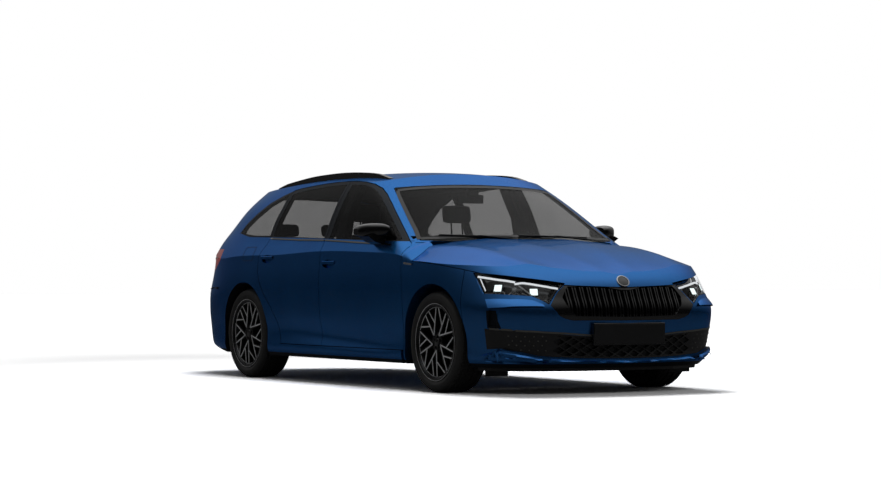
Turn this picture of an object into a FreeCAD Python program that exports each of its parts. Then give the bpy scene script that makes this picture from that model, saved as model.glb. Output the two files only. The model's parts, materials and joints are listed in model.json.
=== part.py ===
import FreeCAD
import Part
import math
import os

from FreeCAD import Vector

# A five-door station wagon: body shell, opening panels, glass, lamps, running gear and cabin.
# Millimetres, +Z up, nose towards -Y, ground at Z 0, origin under the middle of the car.
# Side pieces are made for the +X side and mirrored.

# Overall size
length = 4698.0
body_half_width = 914.5
wheelbase = 2686.0
front_overhang = 885.0
rear_y = length / 2
front_y = -rear_y
front_axle_y = front_y + front_overhang
rear_axle_y = front_axle_y + wheelbase

# Wheels and tyres
track = 1543.0
tyre_radius = 318.5
tyre_width = 225.0
bead_radius = 228.6
flange_radius = 243.0
arch_radius = 366.0
housing_x = (480.0, 620.0)
liner_wall = 12.0
spoke_pairs = 5
steer_axis_x = 690.0
spindle_radius = 22.0

# Panels
gap = 5.0
panel_wall = 24.0
door_wall = 112.0
frame_wall = 38.0
roof_wall = 34.0
glass_wall = 5.0

# Heights
underside_z = 172.0
door_foot_z = 258.0
floor_z = 300.0
rear_floor_z = 430.0
heel_y = 840.0
tailgate_foot_z = 560.0
gate_front_y = 1930.0

# Wall: set back from the nose, the tail and the widest side at each height
nose_rows = [
    (120, 130), (160, 70), (195, 22), (225, 6), (255, 26), (300, 34), (360, 24), (430, 8),
    (490, 0), (540, 4), (575, 18), (612, 38), (640, 46), (680, 64), (740, 108), (800, 190), (900, 330),
    (1120, 560),
]
tail_rows = [
    (120, 260), (170, 150), (230, 60), (300, 18), (380, 0), (480, 2), (560, 12), (620, 34),
    (680, 58), (760, 72), (860, 84), (920, 84), (980, 80), (1120, 78),
]
side_rows = [
    (120, 90), (165, 48), (200, 24), (240, 16), (290, 22), (350, 22), (430, 12), (540, 4),
    (640, 0), (740, 2), (820, 8), (880, 12), (960, 20), (1120, 44),
]
belly_rows = [(-1230, 9), (-700, 5), (100, 0), (700, 0), (1150, 6)]
wall_levels = [
    120, 150, 180, 210, 240, 275, 320, 370, 430, 490, 535, 570, 605, 645, 700, 760, 820, 890, 980, 1120,
    1330, 1560,
]
nose_turn_y = -1230.0
nose_dent = 30.0
tail_turn_y = 1150.0
nose_power_rows = [(120, 3.3), (250, 3.6), (330, 4.0), (520, 4.0), (640, 3.5), (740, 3.25), (1120, 3.2)]
tail_power_rows = [(120, 3.3), (320, 3.4), (600, 3.4), (800, 3.15), (1120, 3.15)]

# Glasshouse: half width, windscreen and rear window stations at each height
house_rows = [(780, 958), (890, 906), (985, 857), (1150, 790), (1285, 722), (1410, 640), (1520, 560)]
screen_rows = [(780, -1460), (960, -1148), (1100, -912), (1250, -668), (1400, -405), (1520, -190)]
hatch_rows = [(780, 2345), (960, 2264), (1100, 2200), (1250, 2125), (1370, 2055), (1520, 1950)]
house_levels = [780, 840, 890, 940, 985, 1040, 1100, 1160, 1220, 1285, 1350, 1410, 1520]
screen_turn = 290.0
screen_power = 2.8
hatch_turn_y = 700.0
hatch_power_rows = [
    (780, 3.7), (960, 3.7), (1072, 3.2), (1209, 2.75), (1316, 2.25), (1400, 1.9), (1520, 1.7),
]
house_taper_rows = [(-1200, 20), (-800, 12), (0, 0), (700, 10)]

# Roof and bonnet along the middle, and how far each falls to its edge
roof_rows = [
    (-900, 1340), (-600, 1395), (-340, 1429), (0, 1450), (300, 1454), (800, 1443), (1200, 1420),
    (1600, 1388), (1900, 1358), (2100, 1336), (2450, 1295),
]
roof_fall = 62.0
bonnet_rows = [
    (-2400, 610), (-2330, 680), (-2270, 724), (-2150, 779), (-2000, 829), (-1700, 905), (-1400, 952),
    (-1150, 973), (-900, 984),
]
outer_ridge_rows = [
    (-2400, 360), (-2244, 415), (-2189, 485), (-2105, 545), (-1905, 600), (-1665, 622), (-1070, 730),
]
inner_ridge_rows = [(-2400, 90), (-2180, 118), (-2000, 140), (-1700, 190), (-1100, 300)]
crease_rows = [
    (-2400, 640), (-2200, 690), (-1971, 740), (-1817, 772), (-1500, 812), (-1269, 829), (-1054, 834),
    (-611, 850), (98, 877), (731, 900), (1132, 915), (1548, 920), (2400, 925),
]

# Door mirror sections: x, middle y and z, half depth and half height
mirror_rows = [
    (838, -735, 1030, 92, 36), (870, -733, 1032, 97, 44), (920, -712, 1032, 88, 46), (965, -689, 1030, 71, 42),
    (990, -666, 1026, 50, 33), (1001, -652, 1022, 34, 20),
]

# Roof rail: place, and height over the roof along its length
rail_x = 535.0
rail_rows = [
    (-298, 1), (-250, 8), (-170, 20), (0, 30), (160, 35), (410, 38), (700, 37), (1000, 28), (1210, 20), (1360, 2),
]

# Grille ribs, in pairs, and the crossing bars of the lower intake
rib_pitch = 50.0
rib_spread = 9.0
rib_width = 8.0
rib_setback = 9.0
lattice_pitch_x = 94.0
lattice_pitch_z = 52.0
lattice_bar = 8.0
lattice_reach = 500.0
lattice_depth = 18.0

# Side outlines, (y, z)
front_door_points = [
    (-1078, 258), (-1092, 420), (-1094, 620), (-1074, 800), (-1060, 925), (-1034, 946), (-1007, 961),
    (-841, 1061), (-724, 1133), (-597, 1211), (-481, 1278), (-396, 1320), (-302, 1350), (-190, 1367),
    (-80, 1376), (42, 1380), (42, 1000), (40, 941), (38, 700), (42, 258),
]
rear_door_points = [
    (42, 258), (38, 700), (40, 941), (42, 1000), (42, 1380), (250, 1379), (421, 1372), (600, 1362),
    (760, 1350), (868, 1338), (884, 1320), (892, 1214), (914, 1103), (912, 1020), (930, 960), (972, 900),
    (990, 860), (990, 760), (960, 690), (886, 604), (780, 510), (700, 420), (662, 330), (648, 258),
]
front_glass_points = [
    (-962, 966), (-735, 1104), (-590, 1191), (-474, 1257), (-388, 1299), (-296, 1328), (-180, 1346),
    (-8, 1356), (-8, 984), (-299, 979), (-753, 966),
]
rear_glass_points = [
    (72, 988), (72, 1357), (250, 1355), (421, 1348), (600, 1336), (760, 1322), (852, 1307), (862, 1214),
    (884, 1103), (882, 1010), (451, 999),
]
quarter_glass_points = [
    (938, 1018), (940, 1103), (918, 1214), (910, 1318), (1012, 1284), (1188, 1231), (1344, 1156),
    (1460, 1088), (1486, 1054), (1470, 1036), (1285, 1022),
]


def table(rows, at):
    """Smooth value between hand-set (station, value) rows, with no overshoot."""
    if at <= rows[0][0]:
        return rows[0][1]
    if at >= rows[-1][0]:
        return rows[-1][1]
    n = max(k for k in range(len(rows) - 1) if rows[k][0] <= at)
    a, b = rows[n], rows[n + 1]
    span = b[0] - a[0]
    slope = (b[1] - a[1]) / span
    start, end = slope, slope
    if n > 0:
        left = (a[1] - rows[n - 1][1]) / (a[0] - rows[n - 1][0])
        start = 0.0 if left * slope <= 0 else 2 * left * slope / (left + slope)
    if n + 2 < len(rows):
        right = (rows[n + 2][1] - b[1]) / (rows[n + 2][0] - b[0])
        end = 0.0 if right * slope <= 0 else 2 * right * slope / (right + slope)
    t = (at - a[0]) / span
    return (
        a[1] * (1 + 2 * t) * (1 - t) ** 2
        + start * span * t * (1 - t) ** 2
        + b[1] * t * t * (3 - 2 * t)
        + end * span * t * t * (t - 1)
    )


def quarter(power, steps):
    """Unit superellipse from (0, 1) to (1, 0)."""
    points = []
    for n in range(steps + 1):
        turn = math.pi / 2 * n / steps
        points.append((abs(math.sin(turn)) ** (2 / power), abs(math.cos(turn)) ** (2 / power)))
    points[0] = (0.0, 1.0)
    points[-1] = (1.0, 0.0)
    return points


def scallop(y, z):
    """How far the lower doors are pressed in, fading at both ends."""
    ridge_z = 372 + y * 0.062
    along = max(0.0, 1 - abs((y + 190) / 900.0) ** 4)
    below = (ridge_z - z) / 70.0
    if below < -0.6 or below > 1.7:
        return 0.0
    return 15.0 * along * math.sin(math.pi * (below + 0.6) / 2.3) ** 2


def wall_points(z, side, nose, tail):
    """Half outline of the lower body at one height, nose to tail, on the +X side."""
    wide = body_half_width - table(side_rows, z) - side
    nose_at = front_y + table(nose_rows, z) + nose
    tail_at = rear_y - table(tail_rows, z) - tail
    points = []
    for x, y in quarter(table(nose_power_rows, z), 12):
        dent = nose_dent * y * math.sin(math.pi * min(1.0, x)) ** 2
        points.append((x * (wide - belly_rows[0][1]), nose_turn_y + y * (nose_at - nose_turn_y) + dent))
    for n in range(1, 12):
        y = nose_turn_y + (tail_turn_y - nose_turn_y) * n / 12
        points.append((wide - table(belly_rows, y) - scallop(y, z), y))
    for x, y in reversed(quarter(table(tail_power_rows, z), 10)):
        points.append((x * (wide - belly_rows[-1][1]), tail_turn_y + y * (tail_at - tail_turn_y)))
    return points


def house_points(z, side, screen, hatch):
    """Half outline of the glasshouse at one height, windscreen to rear window, on the +X side."""
    wide = table(house_rows, z) - side
    screen_at = table(screen_rows, z) + screen
    hatch_at = table(hatch_rows, z) - hatch
    turn_y = screen_at + screen_turn
    points = []
    for x, y in quarter(screen_power, 8):
        points.append((x * (wide - table(house_taper_rows, turn_y)), turn_y - y * screen_turn))
    for n in range(1, 8):
        y = turn_y + (hatch_turn_y - turn_y) * n / 8
        points.append((wide - table(house_taper_rows, y), y))
    for x, y in reversed(quarter(table(hatch_power_rows, z), 10)):
        points.append((x * (wide - house_taper_rows[-1][1]), hatch_turn_y + y * (hatch_at - hatch_turn_y)))
    return points


def knots(count):
    """Clamped, evenly spaced cubic knots and how often each repeats."""
    spans = count - 3
    return [float(n) for n in range(spans + 1)], [4] + [1] * (spans - 1) + [4]


def pole_face(grid):
    """Bicubic face over a grid of poles."""
    u_knots, u_mults = knots(len(grid))
    v_knots, v_mults = knots(len(grid[0]))
    surface = Part.BSplineSurface()
    surface.buildFromPolesMultsKnots(grid, u_mults, v_mults, u_knots, v_knots, False, False, 3, 3)
    return surface.toShape()


def closed_solid(faces):
    """Solid from faces that meet edge to edge."""
    shell = Part.Shell(faces)
    if not shell.isClosed():
        sewn = Part.makeCompound(faces)
        sewn.sewShape()
        shell = sewn.Shells[0]
    solid = Part.Solid(shell)
    if solid.Volume < 0:
        solid.reverse()
    return solid


def mirrored(shape):
    return shape.mirror(Vector(0, 0, 0), Vector(1, 0, 0))


def stack(half_outlines, levels):
    """Solid through half outlines at rising levels, and their mirror images, capped flat."""
    left = pole_face([[Vector(x, y, z) for x, y in half] for half, z in zip(half_outlines, levels)])
    right = mirrored(left)
    faces = [left, right]
    for z in (levels[0], levels[-1]):
        edges = []
        for face in (left, right):
            edges += [e for e in face.Edges if abs(e.BoundBox.ZMin - z) + abs(e.BoundBox.ZMax - z) < 0.01]
        faces.append(Part.Face(Part.Wire(Part.__sortEdges__(edges))))
    return closed_solid(faces)


def wall_solid(side=0.0, nose=0.0, tail=0.0):
    halves = [wall_points(z, side, nose, tail) for z in wall_levels]
    return stack(halves, wall_levels)


def house_side(side=0.0, screen=0.0, hatch=0.0):
    """Sides, windscreen and rear window, with the belt following the crease line below them."""
    halves = [house_points(z, side, screen, hatch) for z in house_levels]
    return stack(halves, house_levels)


def lid_solid(rows, fall_at, sink, y_range, x_range, z_foot, columns):
    """Solid under a crowned surface: rows give its middle, fall_at(x, y) how far it drops."""
    ys = [y_range[0] + (y_range[1] - y_range[0]) * n / 23 for n in range(24)]
    xs = [x_range * (2 * n / (columns - 1) - 1) for n in range(columns)]
    top = pole_face([[Vector(x, y, table(rows, y) - fall_at(x, y) - sink) for x in xs] for y in ys])
    low = Part.makeBox(2 * x_range, y_range[1] - y_range[0], 10, Vector(-x_range, y_range[0], z_foot - 10))
    block = top.extrude(Vector(0, 0, -2000))
    keep = Part.makeBox(2 * x_range, y_range[1] - y_range[0], 2000, Vector(-x_range, y_range[0], z_foot))
    return block.common(keep)


def roof_drop(x, y):
    return roof_fall * (abs(x) / 640.0) ** 2.3


def swell(offset, spread):
    return math.exp(-((offset / spread) ** 2))


def bonnet_drop(x, y):
    """Fall of the bonnet from its middle line, less the two pairs of soft ridges."""
    fall = table(bonnet_rows, y) - table(crease_rows, y)
    outer_ridge = swell(abs(x) - table(outer_ridge_rows, y), 60)
    inner_ridge = swell(abs(x) - table(inner_ridge_rows, y), 50)
    return fall * (abs(x) / 897.0) ** 4 - 13 * outer_ridge - 5 * inner_ridge


def roof_solid(sink=0.0):
    return lid_solid(roof_rows, roof_drop, sink, (-1500, 2480), 960.0, 700.0, 15)


def deck_solid(sink=0.0):
    return lid_solid(bonnet_rows, bonnet_drop, sink, (-2400, -860), 960.0, 100.0, 39)


def box(x0, x1, y0, y1, z0, z1):
    return Part.makeBox(x1 - x0, y1 - y0, z1 - z0, Vector(x0, y0, z0))


def side_prism(points, x0, x1):
    """Straight-edged outline in (y, z), pulled from x0 to x1."""
    ring = [Vector(x0, y, z) for y, z in points]
    return Part.Face(Part.makePolygon(ring + ring[:1])).extrude(Vector(x1 - x0, 0, 0))


def front_prism(points, y0, y1):
    """Straight-edged outline in (x, z), pulled from y0 to y1."""
    ring = [Vector(x, y0, z) for x, z in points]
    return Part.Face(Part.makePolygon(ring + ring[:1])).extrude(Vector(0, y1 - y0, 0))


def plan_prism(points, z0, z1):
    """Straight-edged outline in (x, y), pulled from z0 to z1."""
    ring = [Vector(x, y, z0) for x, y in points]
    return Part.Face(Part.makePolygon(ring + ring[:1])).extrude(Vector(0, 0, z1 - z0))


def grown(points, by):
    """Outline moved outwards by that much, corners kept sharp."""
    count = len(points)
    area = sum(points[n - 1][0] * points[n][1] - points[n][0] * points[n - 1][1] for n in range(count))
    turn = 1 if area > 0 else -1
    normals = []
    for n in range(count):
        (a, b), (c, d) = points[n], points[(n + 1) % count]
        size = math.hypot(c - a, d - b)
        normals.append((turn * (d - b) / size, -turn * (c - a) / size))
    result = []
    for n in range(count):
        (p, q), (r, s) = normals[n - 1], normals[n]
        share = by / (1 + p * r + q * s)
        result.append((points[n][0] + (p + r) * share, points[n][1] + (q + s) * share))
    return result


def bar(x, y, z, radius, axis, size):
    return Part.makeCylinder(radius, size, Vector(x, y, z), Vector(*axis))


def turned(points):
    """Ring round the X axis from a closed (x, radius) section."""
    ring = [Vector(x, 0, r) for x, r in points]
    return Part.Face(Part.makePolygon(ring + ring[:1])).revolve(Vector(0, 0, 0), Vector(1, 0, 0), 360)


def moved(shape, x, y, z):
    copy = shape.copy()
    copy.translate(Vector(x, y, z))
    return copy


def both(shape):
    return Part.makeCompound([shape, mirrored(shape)])


def joined(shapes):
    result = shapes[0]
    for shape in shapes[1:]:
        result = result.fuse(shape)
    return result


def car_solid(side=0.0, nose=0.0, tail=0.0, frame=0.0, screen=0.0, hatch=0.0, lid=0.0, roof=0.0):
    """The whole closed body, each surface moved inwards by its own amount."""
    house = house_side(frame, screen, hatch).common(roof_solid(roof))
    belly = box(-1000, 1000, -1000, 2420, 100, 830)
    upper = joined([deck_solid(lid), belly, house])
    keep = side_prism(
        [(-2500, underside_z), (1620, underside_z), (2420, 306), (2420, 1600), (-2500, 1600)], -1200, 1200
    )
    return wall_solid(side, nose, tail).common(upper).common(keep)


def arch_cylinders(radius, depths):
    """Round spaces over a front and a rear wheel, from each depth outwards."""
    shapes = []
    for y, depth_x in zip((front_axle_y, rear_axle_y), depths):
        cylinder = bar(depth_x, y, tyre_radius, radius, (1, 0, 0), 700)
        tunnel = box(depth_x, depth_x + 700, y - radius, y + radius, -50, tyre_radius)
        shapes.append(cylinder.fuse(tunnel))
    return shapes


def nose_at(x, z):
    """Y of the nose surface at this place, from the outline at that height."""
    points = wall_points(z, 0, 0, 0)[:13]
    for (x0, y0), (x1, y1) in zip(points, points[1:]):
        if x0 <= abs(x) <= x1:
            return y0 + (y1 - y0) * (abs(x) - x0) / (x1 - x0)
    return nose_turn_y


def crease_line(y0, y1, lift, steps=10):
    ys = [y0 + (y1 - y0) * n / steps for n in range(steps + 1)]
    return [(y, table(crease_rows, y) + lift) for y in ys]


def halves_of(shape):
    """The +X part of a shape."""
    return shape.common(box(0, 1200, -2500, 2500, -100, 1700))


def main_solids(piece, least=2000):
    """Drop crumbs a cut may leave."""
    keep = [s for s in piece.Solids if s.Volume > least]
    return Part.makeCompound(keep) if len(keep) > 1 else keep[0]


# Shapes shared by several panels
outer = car_solid()
panel_inner = car_solid(panel_wall, panel_wall, panel_wall, panel_wall, 40, 30, panel_wall, roof_wall)
lining = wall_solid(door_wall, 60, 52)
well = box(-900, 900, -1010, heel_y, floor_z, 992).fuse(box(-900, 900, heel_y, 2300, rear_floor_z, 992))
cabin_low = lining.common(well)
house_inner = house_side(frame_wall, 52, 40).common(box(-900, 900, -1100, 2300, 985, 1500))
cabin_high = house_inner.common(roof_solid(roof_wall))
cabin = cabin_low.fuse(cabin_high)
skin = outer.cut(panel_inner)
skin_side = halves_of(skin)
outer_side = halves_of(outer)
lining_low = lining.common(box(-900, 900, -1500, 2300, 100, 992))
lamp_layer = halves_of(outer.cut(car_solid(25, 25, 25, 26, 40, 30, 25, 25)))
nose_block = outer.common(box(-1000, 1000, -2420, -1780, 100, 900))
nose_half = halves_of(nose_block)
deep_side = outer_side.cut(house_inner).cut(lining_low)

arches = arch_cylinders(arch_radius, housing_x)
liners = arch_cylinders(arch_radius + liner_wall, [x - liner_wall for x in housing_x])
arch_tools = arches + [mirrored(s) for s in arches]

front_door_prism = side_prism(front_door_points, 500, 1100)
rear_door_prism = side_prism(rear_door_points, 500, 1100)
front_glass_prism = side_prism(front_glass_points, 500, 1100)
rear_glass_prism = side_prism(rear_glass_points, 500, 1100)
quarter_prism = side_prism(quarter_glass_points, 500, 1100)


def shrunk(points):
    return grown(points, -gap / 2)


def swollen(points):
    return grown(points, gap / 2)


def door(points, glass_prism, clear_of):
    """Door with its window frame, hollow outlines left for the glass."""
    solid = deep_side.common(side_prism(shrunk(points), 500, 1100))
    solid = solid.cut(glass_prism)
    for tool in clear_of:
        solid = solid.cut(tool)
    return main_solids(solid)


glass_zone = outer_side.cut(halves_of(house_side(glass_wall, 10, 7).common(roof_solid(glass_wall))))


def side_glass(points):
    return main_solids(glass_zone.common(side_prism(points, 500, 1100)))


def bonnet_outline(spread):
    """Side view of everything above the bonnet's shut line."""
    low = crease_line(-2420, -1100, -4 - spread, 12)
    return low + [(-1085 + spread, table(crease_rows, -1085) - 4), (-1085 + spread, 1100), (-2420, 1100)]


def even(points):
    """Outline of the whole width from its +X half, which runs from the middle to the middle."""
    return points + [(-x, z) for x, z in reversed(points) if x > 0]


screen_points = even([
    (0, 950), (400, 956), (744, 962), (713, 1039), (691, 1103), (666, 1172), (645, 1228), (622, 1282),
    (606, 1316), (590, 1324), (472, 1334), (300, 1344), (181, 1348), (60, 1351),
])
hatch_points = even([
    (60, tailgate_foot_z), (600, tailgate_foot_z), (640, 700), (652, 800), (648, 930), (606, 1070),
    (540, 1200), (496, 1270), (478, 1320), (470, 1500),
])
hatch_glass_points = even([
    (60, 975), (560, 990), (538, 1070), (482, 1185), (436, 1258), (414, 1290), (60, 1308),
])
gate_side_points = [
    (gate_front_y, 1520), (gate_front_y, 1330), (1850, 1292), (1760, 1230), (1700, 1100), (1660, 960),
    (1660, tailgate_foot_z), (2440, tailgate_foot_z), (2440, 1520),
]
# Room for the tailgate's swing: a wider gap beside its shoulder and a thinner inner edge
gate_relief_points = [
    (560, 900), (652.5, 900), (658, 935), (656, 955), (640, 1000), (620, 1070), (582, 1150), (560, 1150),
]
gate_trim_low = [(1900, 700), (2064, 700), (2064, 900), (2034, 975), (1900, 975)]
gate_trim_high = [(1900, 960), (2040, 960), (1990, 1080), (1960, 1120), (1900, 1120)]
front_lamp_points = [
    (402, 690), (520, 708), (645, 725), (740, 740), (830, 754), (940, 762), (940, 632), (830, 628),
    (756, 623), (690, 619), (625, 612), (580, 588), (542, 562), (512, 592), (468, 640), (430, 666),
]
front_lamp_side = [(-2420, 540), (-2000, 560), (-1966, 628), (-1850, 760), (-1830, 800), (-2420, 800)]
tail_lamp_side = [
    (1716, 927), (1692, 853), (1760, 813), (1830, 780), (1900, 762), (2420, 745), (2420, 928),
]
hatch_lamp_points = [
    (660, 926), (430, 906), (330, 884), (400, 838), (560, 786), (660, 760),
]
grille_points = even([
    (30, 664), (130, 680), (313, 687), (396, 688), (424, 666), (462, 638), (506, 590), (532, 556),
    (480, 492), (440, 474), (390, 464), (60, 462),
])
grille_mouth_points = even([
    (30, 648), (120, 664), (300, 671), (392, 671), (412, 650), (444, 604), (430, 560), (372, 490), (60, 484),
])
intake_points = even([
    (60, 229), (210, 230), (400, 236), (589, 248), (774, 292), (822, 286), (880, 290), (880, 416),
    (820, 412), (623, 396), (420, 377), (217, 361), (60, 356),
])
wing_blade_points = [
    (540, 214), (589, 236), (774, 284), (826, 252), (850, 240), (850, 226), (774, 262), (610, 222),
]
slot_points = [(797, 426), (826, 424), (828, 530), (800, 531)]
pillar_points = [
    (748, floor_z - 4), (768, 640), (756, 880), (748, 985), (714, 1150), (646, 1285), (590, 1385),
    (550, 1385), (600, 1270), (664, 1140), (690, 980), (700, 880), (712, 640), (700, floor_z - 4),
]
dash_points = [(-995, 640), (-995, 900), (-900, 935), (-720, 925), (-600, 860), (-570, 760), (-640, 640)]
handle_rows = [(-85, 813), (846, 850)]
handle_length = 172.0
handle_height = 58.0


def ellipse_points(y, z, half_length, half_height, steps=20):
    turns = [2 * math.pi * n / steps for n in range(steps)]
    return [(y + half_length * math.cos(a), z + half_height * math.sin(a)) for a in turns]


def with_handle(leaf, y, z):
    """Door leaf with an oval finger recess and the pull bar across it."""
    recess = side_prism(ellipse_points(y, z, handle_length / 2, handle_height / 2), 886, 1000)
    pull = box(884, 911, y - handle_length / 2 - 4, y + handle_length / 2 + 4, z - 2, z + 20)
    pull = pull.makeFillet(5, [e for e in pull.Edges if e.BoundBox.XMin > 905])
    finger = box(880, 900, y - handle_length / 2 + 22, y + handle_length / 2 - 22, z - 3, z + 21)
    return joined([leaf.cut(recess), pull.cut(finger)])


def pocket(x0, x1, z0, z1, depth):
    """Straight-sided hollow into the nose, its back following the surface at that depth."""
    levels = [z0 + (z1 - z0) * n / 4 for n in range(5)]
    back = [(nose_at((x0 + x1) / 2, z) + depth, z) for z in levels]
    return side_prism([(-2420, z0)] + back + [(-2420, z1)], x0, x1)


def grille_piece(above):
    """Framed grille: a shallow mouth with pairs of upright ribs in front of a back wall."""
    block = nose_block.common(front_prism(grille_points, -2420, -2150))
    block = block.cut(moved(nose_block, 0, 62, 0)).cut(above)
    mouth = front_prism(grille_mouth_points, -2420, -2150)
    shallow = mouth.cut(moved(nose_block, 0, rib_setback, 0))
    hollows = []
    for n in range(-9, 10):
        x = n * rib_pitch
        inner = rib_spread - rib_width / 2
        outer_edge = rib_spread + rib_width / 2
        hollows.append(pocket(x - inner, x + inner, 470, 680, 48))
        hollows.append(pocket(x + outer_edge, x + rib_pitch - outer_edge, 470, 680, 48))
    deep = main_solids(Part.makeCompound(hollows).common(mouth))
    return main_solids(block.cut(shallow).cut(deep), 20000)


def lattice_piece():
    """Lower intake: a wall with crossing bars in its middle part, closed at both ends."""
    wall = nose_block.common(front_prism(grown(intake_points, -1), -2420, -1990))
    wall = wall.cut(moved(nose_block, 0, lattice_depth + 16, 0))
    window = front_prism(grown(intake_points, -10), -2420, -1990)
    half_x = lattice_pitch_x / 2
    half_z = lattice_pitch_z / 2
    share = 1 - lattice_bar / 2 * math.hypot(half_x, half_z) / (half_x * half_z)
    cells = []
    for row in range(9):
        z = 229 + half_z * row
        for n in range(-6, 6):
            x = lattice_pitch_x * n + half_x * (row % 2)
            ways = [(-1, 0), (0, -1), (1, 0), (0, 1)]
            ring = [(x + a * half_x * share, z + b * half_z * share) for a, b in ways]
            if abs(x) < lattice_reach:
                cells.append(front_prism(ring, -2420, nose_at(x, z) + lattice_depth))
    cells = main_solids(Part.makeCompound(cells).common(window))
    return main_solids(wall.cut(cells), 20000)


def lamp_zone(by):
    """Space of a front lamp on the +X side, its outline moved outwards by that much."""
    zone = front_prism(grown(front_lamp_points, by), -2420, -1800)
    return zone.common(side_prism(grown(front_lamp_side, by), 300, 1100))


def lamp_pieces(parts, above, grille_gap):
    """Clear lens and, behind it, a bowl with two square projectors, for each side."""
    near = nose_half.cut(above).cut(grille_gap)
    lens = near.common(lamp_zone(0)).cut(moved(nose_half, -3, 4.5, 0))
    parts["headlamps"] = both(main_solids(lens))
    inset = lamp_zone(-2)
    bowl = near.common(inset).common(moved(nose_half, -5, 9, 0)).cut(moved(nose_half, -30, 74, 0))
    bowl = bowl.cut(lamp_zone(-9).cut(moved(nose_half, -22, 52, 0)))
    eyes = []
    for x, y, z in ((774, -2036, 672), (610, -2200, 659)):
        eye = box(x - 30, x + 30, y + 6, y + 70, z - 27, z + 27)
        eyes.append(eye.common(moved(nose_half, -8, 14, 0)).common(inset))
    parts["lamp_units"] = both(main_solids(joined([bowl] + eyes)))


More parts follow.
